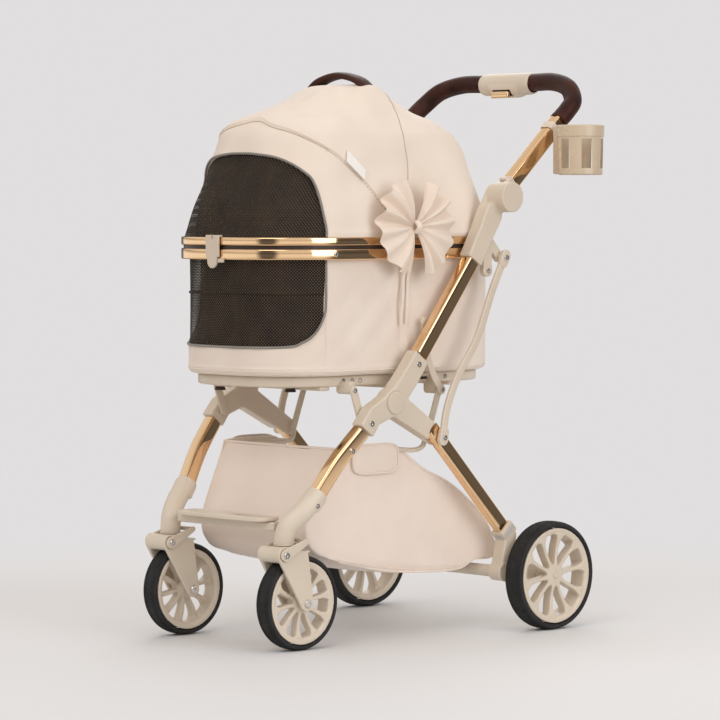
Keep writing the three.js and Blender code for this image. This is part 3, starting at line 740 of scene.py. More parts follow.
def band(name, low, high, thick, inset=0.0, corner=0.0022, steps=240):
    """A hoop round the pod with a flat outer face, from low to high."""
    section = []
    for q, (cx, cz) in enumerate(((-1, 1), (1, 1), (1, -1), (-1, -1))):
        for k in range(6):
            a = math.pi * (1 - q * 0.5) - math.pi / 2 * k / 5
            mid_x = inset + (corner if cx < 0 else thick - corner)
            mid_z = (high - corner) if cz > 0 else (low + corner)
            section.append((mid_x + corner * math.cos(a), mid_z + corner * math.sin(a)))
    count = len(section)
    sec = np.array(section)

    def point(a, b):
        k = np.rint(b * count).astype(int) % count
        u = 2 * a - 1
        x0, y0 = outline(u, inset)
        x1, y1 = outline(u, inset + thick)
        s = (sec[k, 0] - inset) / thick
        return x0 + (x1 - x0) * s, y0 + (y1 - y0) * s, sec[k, 1]

    return smooth(skin(name, steps + 1, count + 1, point), 35)


# ---------------------------------------------------------------- the pod

def make_tub():
    def wall(a, b):
        u = window_spacing(a)
        top = edge_height(TUB_WINDOW, u, 0.706)
        z = TUB_LOW + (top - TUB_LOW) * b
        tuck = 0.009 * (1 - np.sqrt(np.clip(1 - np.clip((TUB_LOW + 0.010 - z) / 0.010, 0, 1) ** 2, 0, 1)))
        return tuple(tub_wall(u, z, tub_relief(u, z) - tuck).T)

    shell = skin("tub_cloth", 420, 64, wall, uv=lambda a, b: (window_spacing(a) * HALF_ROUND, b * 0.22))
    modify(shell, "SOLIDIFY", thickness=0.004, offset=-1)
    keep(smooth(shell), "pod", "cream_fabric", CLOTH, "tub")

    def floor(a, b):
        x, y = outline(2 * a - 1, TUB_INSET + 0.006)
        return x * b, POD_Y + (y - POD_Y) * b, TUB_LOW + 0.0012

    under = skin("tub_floor_cloth", 200, 12, floor, uv=lambda a, b: (a, b * 0.3))
    modify(under, "SOLIDIFY", thickness=0.004, offset=1)
    keep(smooth(under), "pod", "cream_fabric", CLOTH)

    def mesh(a, b):
        u = (2 * a - 1) * (WINDOW_U + 0.004)
        low = edge_height(TUB_WINDOW, u, 0.69) - 0.004
        z = low + (0.704 - low) * b
        sag = -0.0022 - 0.0015 * np.sin(math.pi * np.clip((z - 0.53) / 0.17, 0, 1)) * np.cos(u * 5)
        return tuple(tub_wall(u, z, sag).T)

    def flat(a, b):
        u = (2 * a - 1) * (WINDOW_U + 0.004)
        low = edge_height(TUB_WINDOW, u, 0.69) - 0.004
        return u * HALF_ROUND, low + (0.704 - low) * b

    net = skin("tub_window_mesh", 200, 40, mesh, uv=flat)
    keep(smooth(net), "pod", "cream_fabric", NET)

    lining = skin("tub_window_fold", 160, 4, lambda a, b: tuple(tub_wall(
        (2 * a - 1) * 0.26, 0.628 + 0.004 * b, -0.0012 + 0.0006 * np.sin(b * math.pi)).T))
    keep(smooth(lining), "pod", "cream_fabric", NET)

    u, z = both_sides(TUB_WINDOW, 60)
    line = tub_wall(u, z, np.full(len(u), 0.0012))
    trim = sweep("tub_window_piping", line, 0.0045, 0.0045, 12, 320, side=(0, 0, 1))
    keep(trim, "pod", "cream_fabric", PIPING)

    count = 200
    hem_u = np.linspace(-1, 1, count)
    hem = tub_wall(hem_u, 0.4925, np.full(count, 0.0002))
    line = sweep("tub_hem", hem, 0.0022, 0.0022, 8, 400, side=(0, 0, 1))
    keep(line, "pod", "cream_fabric", CLOTH)


def make_canopy():
    def shell(a, b):
        u = window_spacing(a)
        low = edge_height(LID_WINDOW, u, 0.0)
        t = low + (1 - low) * b ** 0.92
        return tuple(dome(u, t, lid_relief(u, t) * (t > 0)).T)

    piece = skin("canopy_cloth", 380, 124, shell, uv=lambda a, b: (window_spacing(a) * HALF_ROUND, b * 0.42))
    modify(piece, "SOLIDIFY", thickness=0.0035, offset=-1)
    keep(smooth(piece), "canopy_lid", "cream_fabric", LID_CLOTH, "canopy")

    def net_u(a):
        return np.interp(a, (0, 0.2, 0.8, 1), (-WINDOW_U - 0.004, -0.2, 0.2, WINDOW_U + 0.004))

    def reach(a, b):
        u = net_u(a)
        return u, (edge_height(LID_WINDOW, u, 0.0) + 0.012) * b

    def mesh(a, b):
        u, t = reach(a, b)
        inner = eased((WINDOW_U - np.abs(u)) / 0.03)
        return tuple(dome(u, t, -0.0025 - 0.004 * np.sin(math.pi * np.clip(t / 0.56, 0, 1)) * inner).T)

    def flat(a, b):
        u, t = reach(a, b)
        shrink = np.interp(t, DOME_LINE[:, 0], DOME_LINE[:, 1])
        return u * HALF_ROUND * shrink, t * 0.28

    net = skin("canopy_window_mesh", 240, 80, mesh, uv=flat)
    keep(smooth(net), "canopy_lid", "cream_fabric", NET)

    u, t = both_sides(LID_WINDOW, 80)
    line = dome(u, t, np.full(len(u), 0.0012))
    trim = sweep("canopy_window_piping", line, 0.0045, 0.0045, 12, 420, side=(0, 0, 1))
    keep(trim, "canopy_lid", "cream_fabric", PIPING)

    # Each back seam gets a thin raised cord on the real seam line, coloured darker as painted shade for the
    # seam's fine shadow.
    for side in (1, -1):
        st = np.linspace(0.01, 0.93, 60)
        su = np.interp(st, *along_edge(BACK_SEAM, 300))
        su = side * (su + 0.0012)
        seam = dome(su, st, lid_relief(su, st) + 0.0008)
        seam = sweep("back_seam_shadow_cord", seam, 0.0015, 0.0015, 8, 300, side=(0, 1, 0.2))
        keep(seam, "canopy_lid", "cream_fabric", SEAM_SHADE)
    # A darker thread laid just under the visor's edge: painted shadow of the overlapping visor, not a seam of
    # its own.
    u, t = both_sides(VISOR[:-1], 60)
    shade = dome(u, t - 0.007, lid_relief(u, t - 0.007) + 0.0004)
    seam = sweep("visor_shadow_line", shade, 0.0014, 0.0014, 8, 420, side=(0, 0, 1))
    keep(seam, "canopy_lid", "cream_fabric", SEAM_SHADE)
    lip = dome(u, t + 0.006, lid_relief(u, t + 0.006) - 0.0004)
    edge = sweep("visor_edge", lip, 0.0024, 0.0024, 10, 420, side=(0, 0, 1))
    keep(edge, "canopy_lid", "cream_fabric", LID_CLOTH)


def make_cushion():
    """The floor cushion is a block of fleece blown up inside its cover."""
    def fleece(a, b):
        s = np.interp(b, (0, 0.5, 0.75, 1), (0, 1, 1, 0))
        z = np.interp(b, (0, 0.5, 0.56, 0.75, 0.8, 1), (0.4905, 0.4905, 0.493, 0.508, 0.512, 0.513))
        x, y = outline(2 * a - 1, TUB_INSET + 0.012)
        return x * s, POD_Y + (y - POD_Y) * s, z

    pad = skin("floor_cushion_pad", 100, 40, fleece, close=True)
    modify(pad, "REMESH", mode="VOXEL", voxel_size=0.006)
    rest = points(pad)
    pick(pad)
    cloth = pad.modifiers.new("Cloth", "CLOTH")
    cloth.settings.use_pressure = True
    cloth.settings.uniform_pressure_force = 4
    cloth.settings.effector_weights.gravity = 0
    cloth.point_cache.frame_start, cloth.point_cache.frame_end = 1, 20
    for frame_number in range(1, 21):
        bpy.context.scene.frame_set(frame_number)
    bpy.ops.object.modifier_apply(modifier=cloth.name)
    bpy.context.scene.frame_set(1)
    move = points(pad) - rest
    far = np.linalg.norm(move, axis=1)[:, None] + 1e-9
    move *= np.minimum(far, 0.006) / far
    put(pad, rest + move)
    co = points(pad)
    co[:, 2] = np.clip(co[:, 2], 0.4895, 0.516)
    put(pad, co)
    co = points(pad)
    tufts = [(x, POD_Y + y) for y in (-0.18, -0.06, 0.06, 0.18) for x in (-0.07, 0.07)]
    for x, y in tufts:
        near = np.exp(-((co[:, 0] - x) ** 2 + (co[:, 1] - y) ** 2) / 0.018 ** 2)
        co[:, 2] -= 0.006 * near * (co[:, 2] > 0.5)
    put(pad, co)
    modify(pad, "SUBSURF", levels=1, render_levels=1)
    keep(smooth(pad, 80), "pod", "cream_fabric", LINING, "floor_cushion")


def make_rings():
    lower = band("lower_ring_band", RING_LOW, RING_GAP_LOW, 0.0125)
    keep(lower, "pod", "gold_metal", GOLD, "lower_ring")
    upper = band("upper_ring_band", UPPER_LOW, UPPER_HIGH, 0.0125)
    keep(upper, "canopy_lid", "gold_metal", GOLD, "upper_ring")
    gap = band("ring_gasket", RING_GAP_LOW - 0.001, UPPER_LOW + 0.0005, 0.008, 0.004, 0.001)
    keep(gap, "pod", "beige_plastic", DARK)
    x, y = outline(np.array([0.293]), 0.0)
    for side in (1, -1):
        rivet = bolt("ring_rivet", (0, 0, 0), side, 0.0048, 0.002)
        keep(moved(rivet, side * (x[0] + 0.0002), y[0], 0.7008), "pod", "gold_metal", CHROME)


def make_latch():
    front = POD_Y - RING_L
    strap = block("latch_strap", (0.034, 0.0045, 0.0385), (0, front - 0.0040, 0.7150))
    roof = block("latch_roof", (0.034, 0.012, 0.0035), (0, front - 0.0005, 0.7332))
    deselect()
    bpy.ops.mesh.primitive_cylinder_add(vertices=48, radius=0.0125, depth=0.0045)
    tongue = new("latch_tongue")
    co = points(tongue)[:, [0, 2, 1]]
    co[:, 2] = np.where(co[:, 2] > 0, co[:, 2] + 0.012, co[:, 2])
    put(tongue, co + np.array([0, front - 0.0040, 0.6880]))
    tidy_mesh(tongue)
    notch = plate("notch", [(-0.006, 0.008), (0, -0.009), (0.006, 0.008)], -0.01, 0.01, 0)
    co = points(notch)
    put(notch, np.stack([co[:, 1], co[:, 0] + front - 0.004, co[:, 2] + 0.7335], 1))
    tidy_mesh(notch)
    latch = casting("latch_clip", [strap, roof, tongue], [notch], 0.0008, 4, 0.6)
    keep(latch, "lid_latch", "beige_plastic", BEIGE, "latch")
    tab = block("latch_catch", (0.012, 0.006, 0.007), (0.022, front - 0.0032, 0.6895))
    modify(tab, "BEVEL", width=0.001, segments=3)
    keep(smooth(tab), "pod", "beige_plastic", BEIGE)


def make_carry_handle():
    top = [(-0.088, -0.024, 0.984), (-0.070, -0.024, 1.004), (-0.045, -0.024, 1.0185), (0, -0.024, 1.0265),
           (0.045, -0.024, 1.0185), (0.070, -0.024, 1.004), (0.088, -0.024, 0.984)]
    strap = sweep("carry_strap", top, 0.034, 0.013, 40, 90, side=(0, 1, 0), power=2.6)
    keep(strap, "canopy_lid", "brown_leather", LEATHER, "carry_handle")
    for off in (-0.0125, 0.0125):
        seam = [(x, y + off, z + 0.0044) for x, y, z in top]
        stitch = sweep("carry_stitch", seam, 0.0011, 0.0011, 6, 120, side=(0, 1, 0),
                       swell=lambda b: 0.35 + 0.65 * (np.sin(b * 60 * math.pi) > -0.2))
        keep(stitch, "canopy_lid", "brown_leather", LEATHER)


def make_base():
    tray = band("base_rail", 0.4640, TUB_LOW - 0.0004, 0.020, 0.030, 0.0045)

    def floor(a, b):
        x, y = outline(2 * a - 1, 0.040)
        return x * b, POD_Y + (y - POD_Y) * b, 0.4725

    under = skin("base_plate", 160, 10, floor)
    modify(under, "SOLIDIFY", thickness=0.003, offset=0)
    bars = []
    for y in (-0.200, -0.037, 0.120):
        bar = block("base_bar", (0.30, 0.024, 0.008), (0, y, 0.461))
        bars.append(modify(bar, "BEVEL", width=0.003, segments=3))
    for side in (1, -1):
        bars.append(mirrored(plate("base_bracket", wrap(((-0.165, 0.458), 0.007), ((-0.165, 0.468), 0.006)),
                                   0.148, 0.1837), side))
        bars.append(mirrored(plate("base_bracket", wrap(((0.054, 0.452), 0.008), ((0.054, 0.470), 0.008)),
                                   0.148, 0.1784), side))
    keep(smooth(join("base_tray", [tray, under] + bars), 35), "frame", "beige_plastic", BEIGE, "base_frame")
    for x, y in ((-0.055, -0.270), (0.085, -0.225), (-0.055, 0.195), (0.085, 0.160)):
        foot = upright(turned("rest_foot", [(0, 0.460), (0.0085, 0.460), (0.0105, 0.4545), (0.0095, 0.4535),
                                            (0, 0.4535)][::-1], (0, 0, 0), 32), x, y, 0)
        keep(smooth(foot), "frame", "brown_leather", DARK)
    for u in (0.322, 0.352, 0.377, 0.62, 0.66):
        for side in (1, -1):
            x, y = outline(np.array([u]), 0.030)
            screw = bolt("base_screw", (side * x[0], y[0], 0.474), side, 0.0045, 0.0022)
            keep(screw, "frame", "beige_plastic", CHROME)
    for side in (1, -1):
        slot = block("base_slot", (0.003, 0.034, 0.005), (side * 0.1558, 0.030, 0.473))
        keep(modify(slot, "BEVEL", width=0.001, segments=2), "frame", "beige_plastic", DARK)


def make_bow():
    """Two pleated fans gathered in a small knot, with two ribbons, stitched over the canopy's hem."""
    centre = np.array([0.1985, -0.028, 0.7490])
    for turn, name in ((math.pi / 2, "bow_fan_rear"), (-math.pi / 2, "bow_fan_front")):
        pleats = 6

        def fan(a, b, turn=turn):
            wing = (a - 0.5) * math.radians(150)
            r = 0.006 + b * (0.082 + 0.003 * np.sin(a * 5) - 0.004 * np.abs(a - 0.5))
            r = r * (1 + 0.035 * b * np.abs(np.sin(a * pleats * math.pi)))
            ang = math.pi / 2 - turn + wing
            uneven = 0.75 + 0.35 * np.sin(a * 9 + turn)
            fold = np.sin(a * pleats * TAU) * (0.0015 + 0.0095 * b ** 0.9) * uneven
            fold += 0.002 * np.sin(a * 23) * b
            x = centre[0] + 0.004 + 0.010 * np.sin(math.pi * np.clip(b * 0.9, 0, 1)) + fold
            y = centre[1] + r * np.cos(ang)
            z = centre[2] + r * np.sin(ang) * 1.02
            return x, y, z

        piece = skin(name, 220, 40, fan, uv=lambda a, b: (a * 0.2, b * 0.08))
        modify(piece, "SOLIDIFY", thickness=0.0007, offset=0)
        keep(smooth(piece, 70), "canopy_lid", "cream_fabric", RIBBON)
    knot = sweep("bow_knot", [(centre[0] + 0.009, centre[1], centre[2] - 0.010),
                              (centre[0] + 0.0165, centre[1], centre[2]),
                              (centre[0] + 0.009, centre[1], centre[2] + 0.010)], 0.013, 0.007, 20, 24,
                 side=(0, 1, 0), power=2.2)
    keep(knot, "canopy_lid", "cream_fabric", RIBBON)
    for off, low in ((-0.0105, 0.577), (0.0015, 0.581)):
        def tail(a, b, off=off, low=low):
            z = centre[2] - 0.006 + (low - centre[2]) * b
            face = 0.1905 - 0.0095 * eased((0.70 - z) / 0.05)
            wave = 0.0012 * np.sin(b * 9 + off * 400)
            y = centre[1] + off + (a - 0.5) * 0.0064 + 0.002 * np.sin(b * 5)
            return face + wave + 0.0022 * (1 - b), y, z + (a - 0.5) * 0.003 * b

        ribbon = skin("bow_ribbon", 6, 80, tail, uv=lambda a, b: (a * 0.006, b * 0.16))
        modify(ribbon, "SOLIDIFY", thickness=0.0006, offset=0)
        keep(smooth(ribbon, 70), "canopy_lid", "cream_fabric", RIBBON)

    def tag(a, b):
        u = 0.325 + 0.064 * a + 0.004 * (b - 0.5)
        t = 0.512 - 0.125 * a + 0.072 * (b - 0.35)
        return tuple(dome(u, t, 0.0062 + 0.001 * np.sin(a * 3)).T)

    label = skin("side_tag", 24, 12, tag, uv=lambda a, b: (a * 0.03, b * 0.015))
    modify(label, "SOLIDIFY", thickness=0.0007, offset=0)
    keep(smooth(label), "canopy_lid", "cream_fabric", TAG)


# ---------------------------------------------------------------- the frame

def tube(name, start, end, x, end_x=None, wide=TUBE_W, high=TUBE_H):
    a, b = (x,) + tuple(start), (end_x or x,) + tuple(end)
    return sweep(name, [a, b], wide, high, 64, 2, power=5.0)


def make_side(label, side):
    knee_h, knee_f = toward(HANDLE_TUBE[0], HANDLE_TUBE[1], -0.045), toward(*FRONT_TUBE, -0.032)
    at = dict(low=HUB_IN, high=HUB_OUT, bevel=0)
    solids = [plate("h", arm(HUB, knee_h, 0.042, 0.039), **at),
              plate("h", arm(knee_h, HANDLE_TUBE[0], 0.039, 0.038), **at),
              plate("h", wrap((HUB, 0.022), (knee_f, 0.018)), **at),
              plate("h", arm(knee_f, FRONT_TUBE[0], 0.035, 0.037), **at),
              plate("h", arm(HUB, FOLD_PIN, 0.046, 0.031), **at),
              plate("h", ring_points(HUB, 0.026), **at),
              plate("h", ring_points(FOLD_PIN, 0.015), HUB_IN, 0.196, 0)]
    room = plate("room", ring_points(FOLD_PIN, 0.0295), 0.1965, 0.23, 0)
    groove = plate("groove", ring_points(HUB, 0.0215, 64), 0.2166, 0.23, 0)
    hub = casting("hub_casting_" + label, solids, [room, groove], 0.0014, 8, 0.5)
    cap = [(0, -0.003), (0.0198, -0.003), (0.0200, 0.0026), (0.0188, 0.0036), (0, 0.0040)]
    disc = turned("hub_disc", cap, (HUB_OUT - 0.001, *HUB), 48)
    pin = turned("fold_pin", [(0, -0.001), (0.004, -0.001), (0.004, 0.027), (0, 0.027)],
                 (HUB_IN + 0.001, *FOLD_PIN), 24)
    hub = join("hub_casting_" + label, [hub, smooth(disc, 35), pin])
    keep(smooth(mirrored(hub, side), 50), "frame", "beige_plastic", BEIGE, "hub_" + label)
    for spot in (toward(HANDLE_TUBE[0], HANDLE_TUBE[1], -0.017), toward(*FRONT_TUBE, -0.016)):
        keep(bolt("hub_bolt", (side * (HUB_OUT - 0.0006), *spot), side), "frame", "beige_plastic", CHROME)

    start = toward(*HANDLE_TUBE, 0.0025)
    keep(mirrored(tube("handle_tube_" + label, start, HANDLE_TUBE[1], SIDE_X), side), "frame", "gold_metal",
         GOLD, "lower_tube_" + label)
    top, low = toward(*FRONT_TUBE, 0.0025), toward(FRONT_TUBE[1], FRONT_TUBE[0], 0.0025)
    bow = (0.1900, (top[0] + low[0]) / 2 - 0.0036, (top[1] + low[1]) / 2 + 0.0028)
    stops = [(0.202, *top), bow, (0.178, *low)]
    leg = sweep("front_leg_tube_" + label, stops, TUBE_W, TUBE_H, 64, 24, power=5.0)
    keep(mirrored(leg, side), "frame", "gold_metal", GOLD, "front_tube_" + label)
    spot = toward(*FRONT_TUBE, 0.045)
    keep(bolt("front_leg_bolt", (side * 0.2075, *spot), side, 0.005), "frame", "gold_metal", CHROME)

    # Neck: a smooth gooseneck from the leg tube to the upright stem
    bend = [(0.178, -0.243, 0.280), (0.177, -0.252, 0.269), (0.172, -0.275, 0.246), (0.160, -0.297, 0.222),
            (FRONT_X, STEM_Y, 0.198), (FRONT_X, STEM_Y, 0.180)]
    bar = sweep("neck", bend, 0.037, 0.037, 40, 60)
    socket = sweep("neck_socket", [(0.1785, -0.246, 0.2764), (0.1745, -0.262, 0.256)], 0.031, 0.036, 48, 4,
                   power=4.5)
    base = block("neck_cut", (0.2, 0.3, 0.1), (FRONT_X, STEM_Y, 0.188 - 0.05))
    neck = casting("neck_casting_" + label, [bar, socket], [base], 0.0013, 6, 0.5)
    keep(mirrored(neck, side), "frame", "beige_plastic", BEIGE, "neck_" + label)
    collar = upright(turned("neck_line", [(0.0183, 0), (0.0191, 0.0004), (0.0191, 0.0016), (0.0183, 0.002)],
                            (0, 0, 0), 48), side * FRONT_X, STEM_Y, 0.1885)
    keep(smooth(collar), "frame", "beige_plastic", BEIGE)
    keep(bolt("neck_bolt", (side * 0.1925, -0.2585, 0.2575), side, 0.0045), "frame", "beige_plastic", CHROME)

    # Lower half of the handle joint
    base = toward(HANDLE_TUBE[1], HANDLE_TUBE[0], -0.0025)
    solids = [plate("j", arm(base, (0.140, 0.735), 0.038, 0.040), 0.191, HUB_OUT, 0),
              plate("j", wrap(((0.140, 0.735), 0.019), ((0.160, 0.771), 0.022)), 0.191, HUB_OUT, 0),
              plate("j", wrap(((0.146, 0.748), 0.020), (JOINT, 0.026)), 0.191, 0.200, 0),
              plate("j", wrap(((0.150, 0.728), 0.009), (TAIL, 0.009)), 0.200, 0.212, 0),
              plate("j", wrap(((0.150, 0.728), 0.009), ((0.150, 0.668), 0.0115)), 0.200, 0.212, 0)]
    room = plate("room", ring_points(JOINT, 0.028), 0.200, 0.24, 0)
    housing = casting("handle_joint_" + label, solids, [room], 0.0014, 7, 0.5)
    pin = turned("joint_pin", [(0, 0), (0.008, 0), (0.008, 0.018), (0, 0.018)], (0.192, *JOINT), 32)
    housing = join("handle_joint_" + label, [housing, pin])
    keep(smooth(mirrored(housing, side), 50), "frame", "beige_plastic", BEIGE, "joint_housing_" + label)

    # Brace
    brace_in = HUB_OUT + 0.0008
    stops = [(brace_in + 0.0035, *p) for p in BRACE]
    bar = sweep("brace", stops, 0.007, 0.015, 32, 110, power=4.5)
    caps = []
    for at, turn in ((TAIL, BRACE[1]), (FOLD_PIN, BRACE[4])):
        shape = wrap((toward(at, turn, -0.004), 0.0105), (toward(at, turn, 0.010), 0.010))
        caps.append(plate("brace_cap", shape, brace_in - 0.0003, brace_in + 0.0085, 0.0015))
    foot = plate("brace_foot", ring_points(TAIL, 0.009), 0.2123, brace_in + 0.001, 0.0008)
    brace = join("brace_bar_" + label, [bar, foot] + caps)
    keep(smooth(mirrored(brace, side), 40), "frame", "beige_plastic", BEIGE, "brace_" + label)
    for spot in (TAIL, FOLD_PIN):
        keep(bolt("brace_bolt", (side * (brace_in + 0.0083), *spot), side, 0.005), "frame", "beige_plastic",
             CHROME)
    keep(bolt("lug_bolt", (side * 0.2117, 0.150, 0.668), side, 0.0048), "frame", "beige_plastic", CHROME)

    # Links under the pod
    shape = wrap(((-0.165, 0.458), 0.008), ((-0.147, 0.405), 0.008))
    link = plate("front_link_" + label + "_bar", shape, 0.184, 0.189, 0.0012)
    keep(smooth(mirrored(link, side)), "frame", "beige_plastic", BEIGE, "front_link_" + label)
    stops = [(0.1865, y, z) for y, z in ((0.010, 0.577), (0.016, 0.525), (0.034, 0.480), (0.054, 0.452))]
    bar = sweep("curved_link_" + label + "_bar", stops, 0.005, 0.014, 28, 60, power=4)
    end = plate("link_end", ring_points((0.054, 0.452), 0.009), 0.184, 0.189, 0.001)
    head = plate("link_end", ring_points((0.010, 0.577), 0.0085), 0.184, 0.189, 0.001)
    bar = join("curved_link_" + label + "_bar", [bar, end, head])
    keep(smooth(mirrored(bar, side)), "frame", "beige_plastic", BEIGE, "curved_link_" + label)
    inner = plate("inner_link_" + label + "_bar", wrap(((0.054, 0.452), 0.006), (FOLD_PIN, 0.006)), 0.1787,
                  0.1837, 0.001)
    keep(smooth(mirrored(inner, side)), "frame", "beige_plastic", BEIGE, "inner_link_" + label)
    for spot in ((0.054, 0.452), (-0.147, 0.405), (-0.165, 0.458)):
        keep(bolt("link_bolt", (side * 0.189, *spot), side, 0.0045), "frame", "beige_plastic", CHROME)

    # Rear leg and foot
    leg = tube("rear_leg_tube_" + label, toward(FOLD_PIN, REAR_TUBE_END, -0.0235), REAR_TUBE_END, 0.207,
               wide=0.020, high=0.027)
    eye = plate("leg_eye", ring_points(FOLD_PIN, 0.0145), 0.197, 0.217, 0.001)
    leg = join("rear_leg_tube_" + label, [leg, eye])
    keep(smooth(mirrored(leg, side), 40), "rear_frame", "gold_metal", GOLD, "rear_tube_" + label)
    far = toward(REAR_TUBE_END, (0.229, 0.1523), 0.024)
    solids = [plate("f", arm(toward(REAR_TUBE_END, far, 0.0003), far, 0.035, 0.036), 0.193, 0.221, 0),
              plate("f", ring_points(AXLE_BAR, 0.017), 0.193, 0.221, 0),
              plate("f", wrap(((0.204, 0.176), 0.014), ((0.190, 0.118), 0.013)), 0.193, 0.221, 0),
              plate("f", wrap(((0.196, 0.118), 0.013), (REAR_AXLE, 0.013)), 0.201, 0.221, 0)]
    foot = casting("rear_foot_casting_" + label, solids, (), 0.0014, 9, 0.5)
    stub = turned("stub_axle", [(0, 0), (0.006, 0), (0.006, 0.050), (0.0045, 0.0515), (0, 0.0515)],
                  (0.219, *REAR_AXLE), 32)
    ring = turned("foot_ring", [(0.0135, -0.001), (0.0168, -0.001), (0.0175, 0.0012), (0.0165, 0.0022),
                                (0.0145, 0.0022)], (0.221, 0.186, 0.110), 48)
    foot = join("rear_foot_casting_" + label, [foot, stub, ring])
    keep(smooth(mirrored(foot, side), 50), "rear_frame", "beige_plastic", BEIGE, "rear_foot_" + label)
    at = toward(REAR_TUBE_END, far, 0.008)
    stops = [(0.207, *at), (0.207, *toward(REAR_TUBE_END, far, 0.017))]
    cuff = sweep("foot_cuff", stops, 0.0296, 0.0372, 56, 2, power=6)
    keep(mirrored(cuff, side), "rear_frame", "beige_plastic", PALE)


def make_caster(label, side):
    """The swivelling front wheel's crown, fork and spring."""
    x = FRONT_X
    leg_in, leg_out = 0.022, 0.0285
    ear_in, ear_out = leg_out + 0.0005, leg_out + 0.0045
    fork_line = wrap((FORK_PIN, 0.015), ((-0.282, 0.166), 0.012), (FRONT_AXLE, 0.0145))
    room = plate("room", ring_points(FORK_PIN, 0.0112), x - 0.05, x + 0.05, 0)
    seat = block("seat", (2 * leg_out, 0.014, 0.004), (x, -0.274, 0.177))
    front_of_pin = [p for p in ring_points(FORK_PIN, 0.0148) if p[0] < -0.3275]
    web = plate("web", front_of_pin, x - leg_out, x + leg_out, 0)
    legs = [plate("leg", fork_line, x + leg_in, x + leg_out, 0),
            plate("leg", fork_line, x - leg_out, x - leg_in, 0)]
    fork = casting("fork_casting_" + label, legs + [seat, web], [room], 0.0011, 6, 0.45)
    shaft = turned("axle_shaft", [(0, -leg_out - 0.002), (0.005, -leg_out - 0.002), (0.005, leg_out + 0.002),
                                  (0, leg_out + 0.002)], (x, *FRONT_AXLE), 24)
    fork = join("fork_casting_" + label, [fork, shaft])
    keep(smooth(mirrored(fork, side), 50), "fork_" + label, "beige_plastic", BEIGE, "front_%s_fork" % label)
    for face in (1, -1):
        nut = bolt("axle_bolt", (side * x + face * (leg_out + 0.0004), *FRONT_AXLE), face, 0.0078, 0.0035)
        keep(nut, "fork_" + label, "beige_plastic", CHROME)

    deselect()
    bpy.ops.mesh.primitive_cylinder_add(vertices=64, radius=0.020, depth=0.0117)
    disc = moved(new("disc"), x, STEM_Y, 0.18185)
    barrel = plate("barrel", ring_points(FORK_PIN, 0.0105), x - 0.033, x + 0.033, 0)
    ear = wrap((FORK_PIN, 0.011), ((-0.276, 0.196), 0.005))
    hook = block("hook", (0.066, 0.010, 0.007), (x, -0.277, 0.1965))
    solids = [disc, barrel, hook, plate("ear", ear, x + ear_in, x + ear_out, 0),
              plate("ear", ear, x - ear_out, x - ear_in, 0)]
    crown = casting("crown_casting_" + label, solids, (), 0.0011, 5, 0.45)
    keep(mirrored(crown, side), "caster_" + label, "beige_plastic", BEIGE, "front_%s_crown" % label)
    for face in (1, -1):
        keep(bolt("fork_pin_bolt", (side * x + face * 0.0328, *FORK_PIN), face, 0.0062, 0.003),
             "caster_" + label, "beige_plastic", CHROME)
    turns = 3.5
    coil = [(x + 0.0043 * math.cos(a), -0.278 + 0.0043 * math.sin(a), 0.1796 + 0.0098 * a / (TAU * turns))
            for a in np.linspace(0, TAU * turns, 57)]
    spring = sweep("caster_spring_" + label, coil, 0.0018, 0.0018, 10, 200, side=(0, 0, 1))
    keep(mirrored(spring, side), "fork_" + label, "spring_steel", STEEL, "front_%s_spring" % label)


